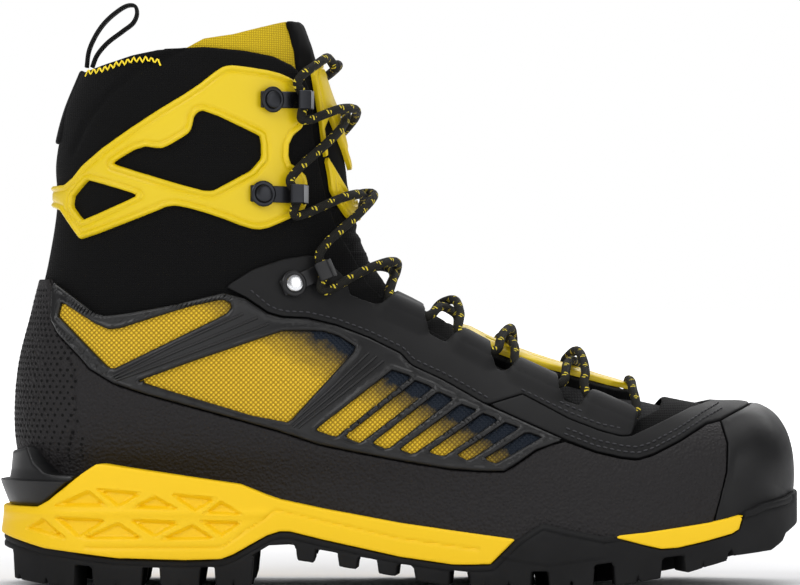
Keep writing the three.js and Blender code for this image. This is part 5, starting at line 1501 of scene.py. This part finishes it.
def tapeFields(at, normal):
    return {"s": np.min([backTape["halfWidth"] - np.abs(at[:, 1]), at[:, 2] - backTape["from"],
                         backTape["to"] - at[:, 2]], 0)}


tape = makeSheet("backTape", upperSurface, (20, 28, 0.8 * math.pi, 1.2 * math.pi), (0.1, 0.02), tapeFields,
                 backTape["height"], finishes["webbing"])
standsFor("back_tape")
print("loop, tape")

# Hidden pieces keep their CAD shape.
innerNodes = {"shank_plate": "composite", "insole_board": "board", "heel_stiffener": "composite",
               "toe_puff": "composite"}
for node, finish in innerNodes.items():
    item = bpy.data.objects[node]
    for slot in item.material_slots:
        slot.material = finishes[finish]
print("hidden pieces")


# Details that repeat: each is a small node tree run over points or lines laid on the surface.
def startTree(name, inputs):
    tree = bpy.data.node_groups.new(name, "GeometryNodeTree")
    tree.interface.new_socket("Geometry", in_out="INPUT", socket_type="NodeSocketGeometry")
    for label, value in inputs.items():
        kind = "NodeSocketMaterial" if label == "Material" else (
            "NodeSocketInt" if isinstance(value, int) else "NodeSocketFloat")
        socket = tree.interface.new_socket(label, in_out="INPUT", socket_type=kind)
        if label != "Material":
            socket.default_value = value
    tree.interface.new_socket("Geometry", in_out="OUTPUT", socket_type="NodeSocketGeometry")
    return tree, tree.nodes.new("NodeGroupInput").outputs


def endTree(tree, geometry, material):
    real = addNode(tree, "GeometryNodeRealizeInstances", {"Geometry": geometry})
    painted = addNode(tree, "GeometryNodeSetMaterial", {"Geometry": real, "Material": material})
    out = tree.nodes.new("NodeGroupOutput")
    tree.links.new(painted.outputs[0], out.inputs[0])
    return tree


def stitchTree():
    tree, given = startTree("stitchRow", {"Spacing": 0.003, "Length": 0.002, "Width": 0.0007,
                                          "Material": None})
    line = addNode(tree, "GeometryNodeMeshToCurve", {"Mesh": given["Geometry"]})
    evened = addNode(tree, "GeometryNodeResampleCurve", {"Curve": line, "Length": given["Spacing"]},
                     mode="LENGTH")
    tangent = addNode(tree, "GeometryNodeInputTangent")
    turn = addNode(tree, "FunctionNodeAlignRotationToVector", {"Vector": tangent}, axis="X")
    bead = addNode(tree, "GeometryNodeMeshUVSphere", {"Segments": 8, "Rings": 5, "Radius": 0.5})
    size = addNode(tree, "ShaderNodeCombineXYZ", {0: given["Length"], 1: given["Width"], 2: given["Width"]})
    laid = addNode(tree, "GeometryNodeInstanceOnPoints", {"Points": evened, "Instance": bead,
                                                          "Rotation": turn, "Scale": size})
    return endTree(tree, laid, given["Material"])


def ribTree():
    tree, given = startTree("mouldedRib", {"Radius": 0.0005, "Spacing": 0.002, "Material": None})
    line = addNode(tree, "GeometryNodeMeshToCurve", {"Mesh": given["Geometry"]})
    evened = addNode(tree, "GeometryNodeResampleCurve", {"Curve": line, "Length": given["Spacing"]},
                     mode="LENGTH")
    ring = addNode(tree, "GeometryNodeCurvePrimitiveCircle", {"Resolution": 8, "Radius": given["Radius"]})
    swept = addNode(tree, "GeometryNodeCurveToMesh", {"Curve": evened, "Profile Curve": ring,
                                                      "Fill Caps": True})
    return endTree(tree, swept, given["Material"])


def holeTree():
    tree, given = startTree("perforation", {"Radius": 0.0005, "Spread": 0.15, "Seed": 4, "Material": None})
    facing = addNode(tree, "GeometryNodeInputNamedAttribute", {"Name": "facing"}, data_type="FLOAT_VECTOR")
    turn = addNode(tree, "FunctionNodeAlignRotationToVector", {"Vector": facing}, axis="Z")
    disc = addNode(tree, "GeometryNodeMeshCylinder", {"Vertices": 8, "Radius": given["Radius"],
                                                      "Depth": 0.0003})
    low = addNode(tree, "ShaderNodeMath", {0: 1.0, 1: given["Spread"]}, operation="SUBTRACT")
    high = addNode(tree, "ShaderNodeMath", {0: 1.0, 1: given["Spread"]}, operation="ADD")
    size = addNode(tree, "FunctionNodeRandomValue", {2: low, 3: high, "Seed": given["Seed"]},
                   data_type="FLOAT")
    laid = addNode(tree, "GeometryNodeInstanceOnPoints", {"Points": given["Geometry"], "Instance": disc,
                                                          "Rotation": turn, "Scale": size.outputs[1]})
    return endTree(tree, laid, given["Material"])


# Runs a tree over lines, or over loose points, and keeps the result as a plain mesh.
def runTree(name, tree, points, edges, facing, values, body, slotName):
    mesh = bpy.data.meshes.new(name)
    mesh.from_pydata(((np.asarray(points) + patternShift) * mm).tolist(), edges, [])
    layer = mesh.attributes.new("facing", "FLOAT_VECTOR", "POINT")
    layer.data.foreach_set("vector", np.asarray(facing, float).ravel())
    piece = bpy.data.objects.new(name, mesh)
    bpy.context.scene.collection.objects.link(piece)
    modifier = piece.modifiers.new("nodes", "NODES")
    modifier.node_group = tree
    for item in tree.interface.items_tree:
        if item.in_out == "INPUT" and item.name in values:
            modifier[item.identifier] = values[item.name]
    plain = bpy.data.meshes.new_from_object(piece.evaluated_get(bpy.context.evaluated_depsgraph_get()))
    piece.modifiers.remove(modifier)
    piece.data = plain
    plain.name = name
    plain.shade_smooth()
    plain.set_sharp_from_angle(angle=math.radians(50))
    if not len(plain.materials):
        plain.materials.append(values["Material"])
    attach(piece, body)


# Side-view lines laid on the surface of those sides, standing off it by a height.
def layLines(lines, height, spacing=1.5, sides=both):
    points, edges, facing = [], [], []
    for side in sides:
        for line in lines:
            line = np.asarray(line, float)
            run = runAlong(line)
            count = max(int(run[-1] / spacing), 2)
            places = np.linspace(0, run[-1], count + 1)
            x, z = (np.interp(places, run, line[:, k]) for k in (0, 1))
            at, normal = upperSurface(*locate(x, z, side))
            edges += [(len(points) + k, len(points) + k + 1) for k in range(count)]
            points += (at + normal * height).tolist()
            facing += normal.tolist()
    return points, edges, facing


def offsetLine(line, amount):
    line = np.asarray(line, float)
    along = np.gradient(line, axis=0)
    along /= np.linalg.norm(along, axis=1, keepdims=True)
    return line + np.stack([-along[:, 1], along[:, 0]], 1) * amount


stitch, rib, hole = stitchTree(), ribTree(), holeTree()
stitching = {"spacing": 2.6, "length": 1.9, "width": 0.65, "height": 2.3, "rowGap": 2.0}


def sewLines(name, lines):
    runTree(name, stitch, *layLines(lines, stitching["height"]),
            {"Spacing": stitching["spacing"] * mm, "Length": stitching["length"] * mm,
             "Width": stitching["width"] * mm, "Material": finishes["threadDark"]}, "boot", "microfibre")


facingSeam = [[47, 74.2], [64.4, 66], [76.4, 61.6], [86, 59.6]]
facingSeamRear = [[-57, 113.6], [-50, 107.6], [-45, 105.9], [-35.9, 105.3], [-24.9, 102.4], [-12.3, 97.4],
                  [0.8, 91], [5, 86.6], [17.4, 80.8], [32.6, 72.2]]
sewLines("facingStitches", [facingSeam, offsetLine(facingSeam, stitching["rowGap"]), facingSeamRear])
stripSeam = [[63.3, 58.2], [74.5, 54], [84.2, 51.9], [90.5, 51.3], [96.3, 52.9], [106.5, 57.6], [117.4, 63.6],
             [124, 66.4]]
sewLines("stripStitches", [stripSeam, offsetLine(stripSeam, stitching["rowGap"])])

# A raised zigzag runs round the collar.
zigzagSeam = {"turns": 27, "reach": 1.3, "height": 1.0, "radius": 0.36, "step": 1.2}
zigzag = np.array([[-120.6, 197.6], [-113.2, 198.8], [-107.3, 200.8], [-101.4, 202.2], [-95.6, 202.4],
                   [-91.3, 201.2]])
run = runAlong(zigzag)
places = np.linspace(0, run[-1], zigzagSeam["turns"])
sway = np.where(np.arange(zigzagSeam["turns"]) % 2, zigzagSeam["reach"], -zigzagSeam["reach"])
zigzagLine = np.stack([np.interp(places, run, zigzag[:, 0]), np.interp(places, run, zigzag[:, 1]) + sway], 1)
runTree("collarZigzag", rib, *layLines([zigzagLine], zigzagSeam["height"], 1.0),
        {"Radius": zigzagSeam["radius"] * mm, "Spacing": zigzagSeam["step"] * mm,
         "Material": finishes["threadYellow"]}, "boot", "webbing")

# Ribs moulded on the cage's bars.
cageRib = {"height": 2.68, "radius": 0.5, "step": 2.0}
cageRibs = [
    [[-109.2, 81.4], [-86, 93.4], [-60.5, 105]], [[-108.6, 80.6], [-84, 91.4], [-55, 103.4]],
    [[-108, 79.8], [-82, 89.4], [-50.7, 101]],
    [[-42.3, 62.6], [-27, 75.5], [-12.4, 89.2]], [[-40.6, 62], [-24.6, 74.8], [-9.4, 87.8]],
    [[-38.9, 61.6], [-22, 74.2], [-6.8, 86]],
]
runTree("cageRibs", rib, *layLines(cageRibs, cageRib["height"], cageRib["step"]),
        {"Radius": cageRib["radius"] * mm, "Spacing": cageRib["step"] * mm,
         "Material": finishes["blackPlastic"]}, "boot", "black_plastic")

# Perforated heel: staggered rows that thin out towards the front.
heelEdge = [[-180, 114], [-134.4, 114], [-131.5, 102], [-126, 93], [-122.5, 84], [-124, 72], [-121, 60],
            [-117, 52], [-124, 46.5], [-136, 47.5], [-143, 57], [-180, 60]]
perforation = {"pitch": 2.5, "across": 57, "radius": 0.58, "spread": 0.15, "height": 2.02, "share": 0.9,
               "seed": 4}
rng = np.random.default_rng(11)
turns = np.linspace(0.5, 1.5, perforation["across"]) * math.pi
rowHeights = np.arange(47, 114, perforation["pitch"] * 0.86)
halfStep = math.pi / (2 * (perforation["across"] - 1))
heelGrid = np.array([(z, turn + (k % 2) * halfStep) for k, z in enumerate(rowHeights) for turn in turns])
# On each row, find the section whose point at that turn has the row's height.
u = np.full(len(heelGrid), 20.0)
probe = 0.05
for _ in range(40):
    at = upperPoint(u, heelGrid[:, 1])
    slope = (upperPoint(u + probe, heelGrid[:, 1])[:, 2] - at[:, 2]) / probe
    slope = np.where(np.abs(slope) < 0.5, 9, slope)  # nearly level sections would throw the step too far
    u = np.clip(u + (heelGrid[:, 0] - at[:, 2]) / slope * 0.6, 2, 27)
at, normal = upperSurface(u, heelGrid[:, 1])
keep = (np.abs(at[:, 2] - heelGrid[:, 0]) < 0.4) & (distanceTo(heelEdge, at[:, 0], at[:, 2])[0] > 0)
keep &= rng.random(len(at)) < perforation["share"]
at, normal = at[keep], normal[keep]
# Each hole is a near-black disc laid on the face: painted shade for the hole's inside, over the dark layer
# beneath.
runTree("heelPerforations", hole, at + normal * perforation["height"], [], normal,
        {"Radius": perforation["radius"] * mm, "Spread": perforation["spread"], "Seed": perforation["seed"],
         "Material": finishes["holeShadeBlack"]}, "boot", "rand_rubber")
print("stitches, ribs, perforations", int(keep.sum()))


# Floor, backdrop, lights and camera.
stage = {"floor": "#f0f0f1", "floorRoughness": 0.8, "plainTo": 0.16, "whiteFrom": 1.0, "halfWidth": 30,
         "world": "#f4f4f6", "worldStrength": 0.35}
# Uncoated studio paper: a plain pale sheet with a painted glow, an emission that grows away from the boot, so
# the floor turns white.
glowingPaper = makeMaterial("glowingPaper", stage["floor"], stage["floorRoughness"],
                         {"Emission Color": rgb("#ffffff"), "Specular IOR Level": 0.2})
tree = glowingPaper.node_tree
shader = tree.nodes["Principled BSDF"]
place = addNode(tree, "ShaderNodeTexCoord").outputs["Object"]
# Painted light: the floor glows more the further it lies from the boot.
far = addNode(tree, "ShaderNodeVectorMath", {0: place}, operation="LENGTH")
glow = addNode(tree, "ShaderNodeMapRange", {"Value": far.outputs["Value"], "From Min": stage["plainTo"],
                                            "From Max": stage["whiteFrom"]}, interpolation_type="SMOOTHSTEP")
tree.links.new(glow.outputs["Result"], shader.inputs["Emission Strength"])
# Seen from below it is clear, so that the tread shows.
behind = addNode(tree, "ShaderNodeNewGeometry").outputs["Backfacing"]
paper = addNode(tree, "ShaderNodeMixShader", {"Fac": behind, 1: shader,
                                              2: addNode(tree, "ShaderNodeBsdfTransparent")})
tree.links.new(paper.outputs[0], tree.nodes["Material Output"].inputs["Surface"])
floorMesh = bpy.data.meshes.new("floor")
wide = stage["halfWidth"]
corners = [(-wide, -wide, 0), (wide, -wide, 0), (wide, wide, 0), (-wide, wide, 0)]
floorMesh.from_pydata(corners, [], [(0, 1, 2, 3)])
floorMesh.materials.append(glowingPaper)
floor = bpy.data.objects.new("floor", floorMesh)
bpy.context.scene.collection.objects.link(floor)


def addLight(name, at, aim, size, power):
    light = bpy.data.lights.new(name, "AREA")
    light.shape = "RECTANGLE"
    light.size, light.size_y = size
    light.energy = power
    piece = bpy.data.objects.new(name, light)
    piece.location = at
    piece.rotation_euler = (Vector((0, 0, aim)) - Vector(at)).to_track_quat("-Z", "Y").to_euler()
    bpy.context.scene.collection.objects.link(piece)


# Each softbox: where it hangs, the height it aims at, its size and its power.
softboxes = {
    "keySoftbox": ((-0.9, -1.5, 1.5), 0.11, (1.4, 1.0), 20),
    "fillSoftbox": ((1.4, -1.3, 0.8), 0.11, (1.2, 1.2), 9),
    "topSoftbox": ((0.0, 0.15, 1.7), 0.11, (1.8, 1.2), 15),
    "backSoftbox": ((0.6, 1.6, 1.1), 0.11, (1.4, 1.0), 12),
    "lowSoftbox": ((0.0, -1.6, 0.15), 0.05, (2.2, 0.5), 2.5),
}
for name, row in softboxes.items():
    addLight(name, *row)
world = bpy.data.worlds.new("studio")
world.use_nodes = True
tree = world.node_tree
soft = tree.nodes["Background"]
soft.inputs["Color"].default_value = rgb(stage["world"])
soft.inputs["Strength"].default_value = stage["worldStrength"]
seen = addNode(tree, "ShaderNodeBackground", {"Color": rgb("#ffffff"), "Strength": 1.0})
paths = addNode(tree, "ShaderNodeLightPath")
chosen = addNode(tree, "ShaderNodeMixShader", {0: paths.outputs["Is Camera Ray"], 1: soft.outputs[0],
                                               2: seen.outputs[0]})
tree.links.new(chosen.outputs[0], tree.nodes["World Output"].inputs["Surface"])
bpy.context.scene.world = world
bpy.context.scene.view_settings.view_transform = "Standard"  # keeps the yellows as strong as they are

lens = bpy.data.cameras.new("camera")
lens.lens = 237
lens.sensor_width = 36
camera = bpy.data.objects.new("camera", lens)
camera.location = (0.00025, -2.05, 0.1133)
camera.rotation_euler = (math.pi / 2, 0, 0)
bpy.context.scene.collection.objects.link(camera)
bpy.context.scene.camera = camera

print("finished")
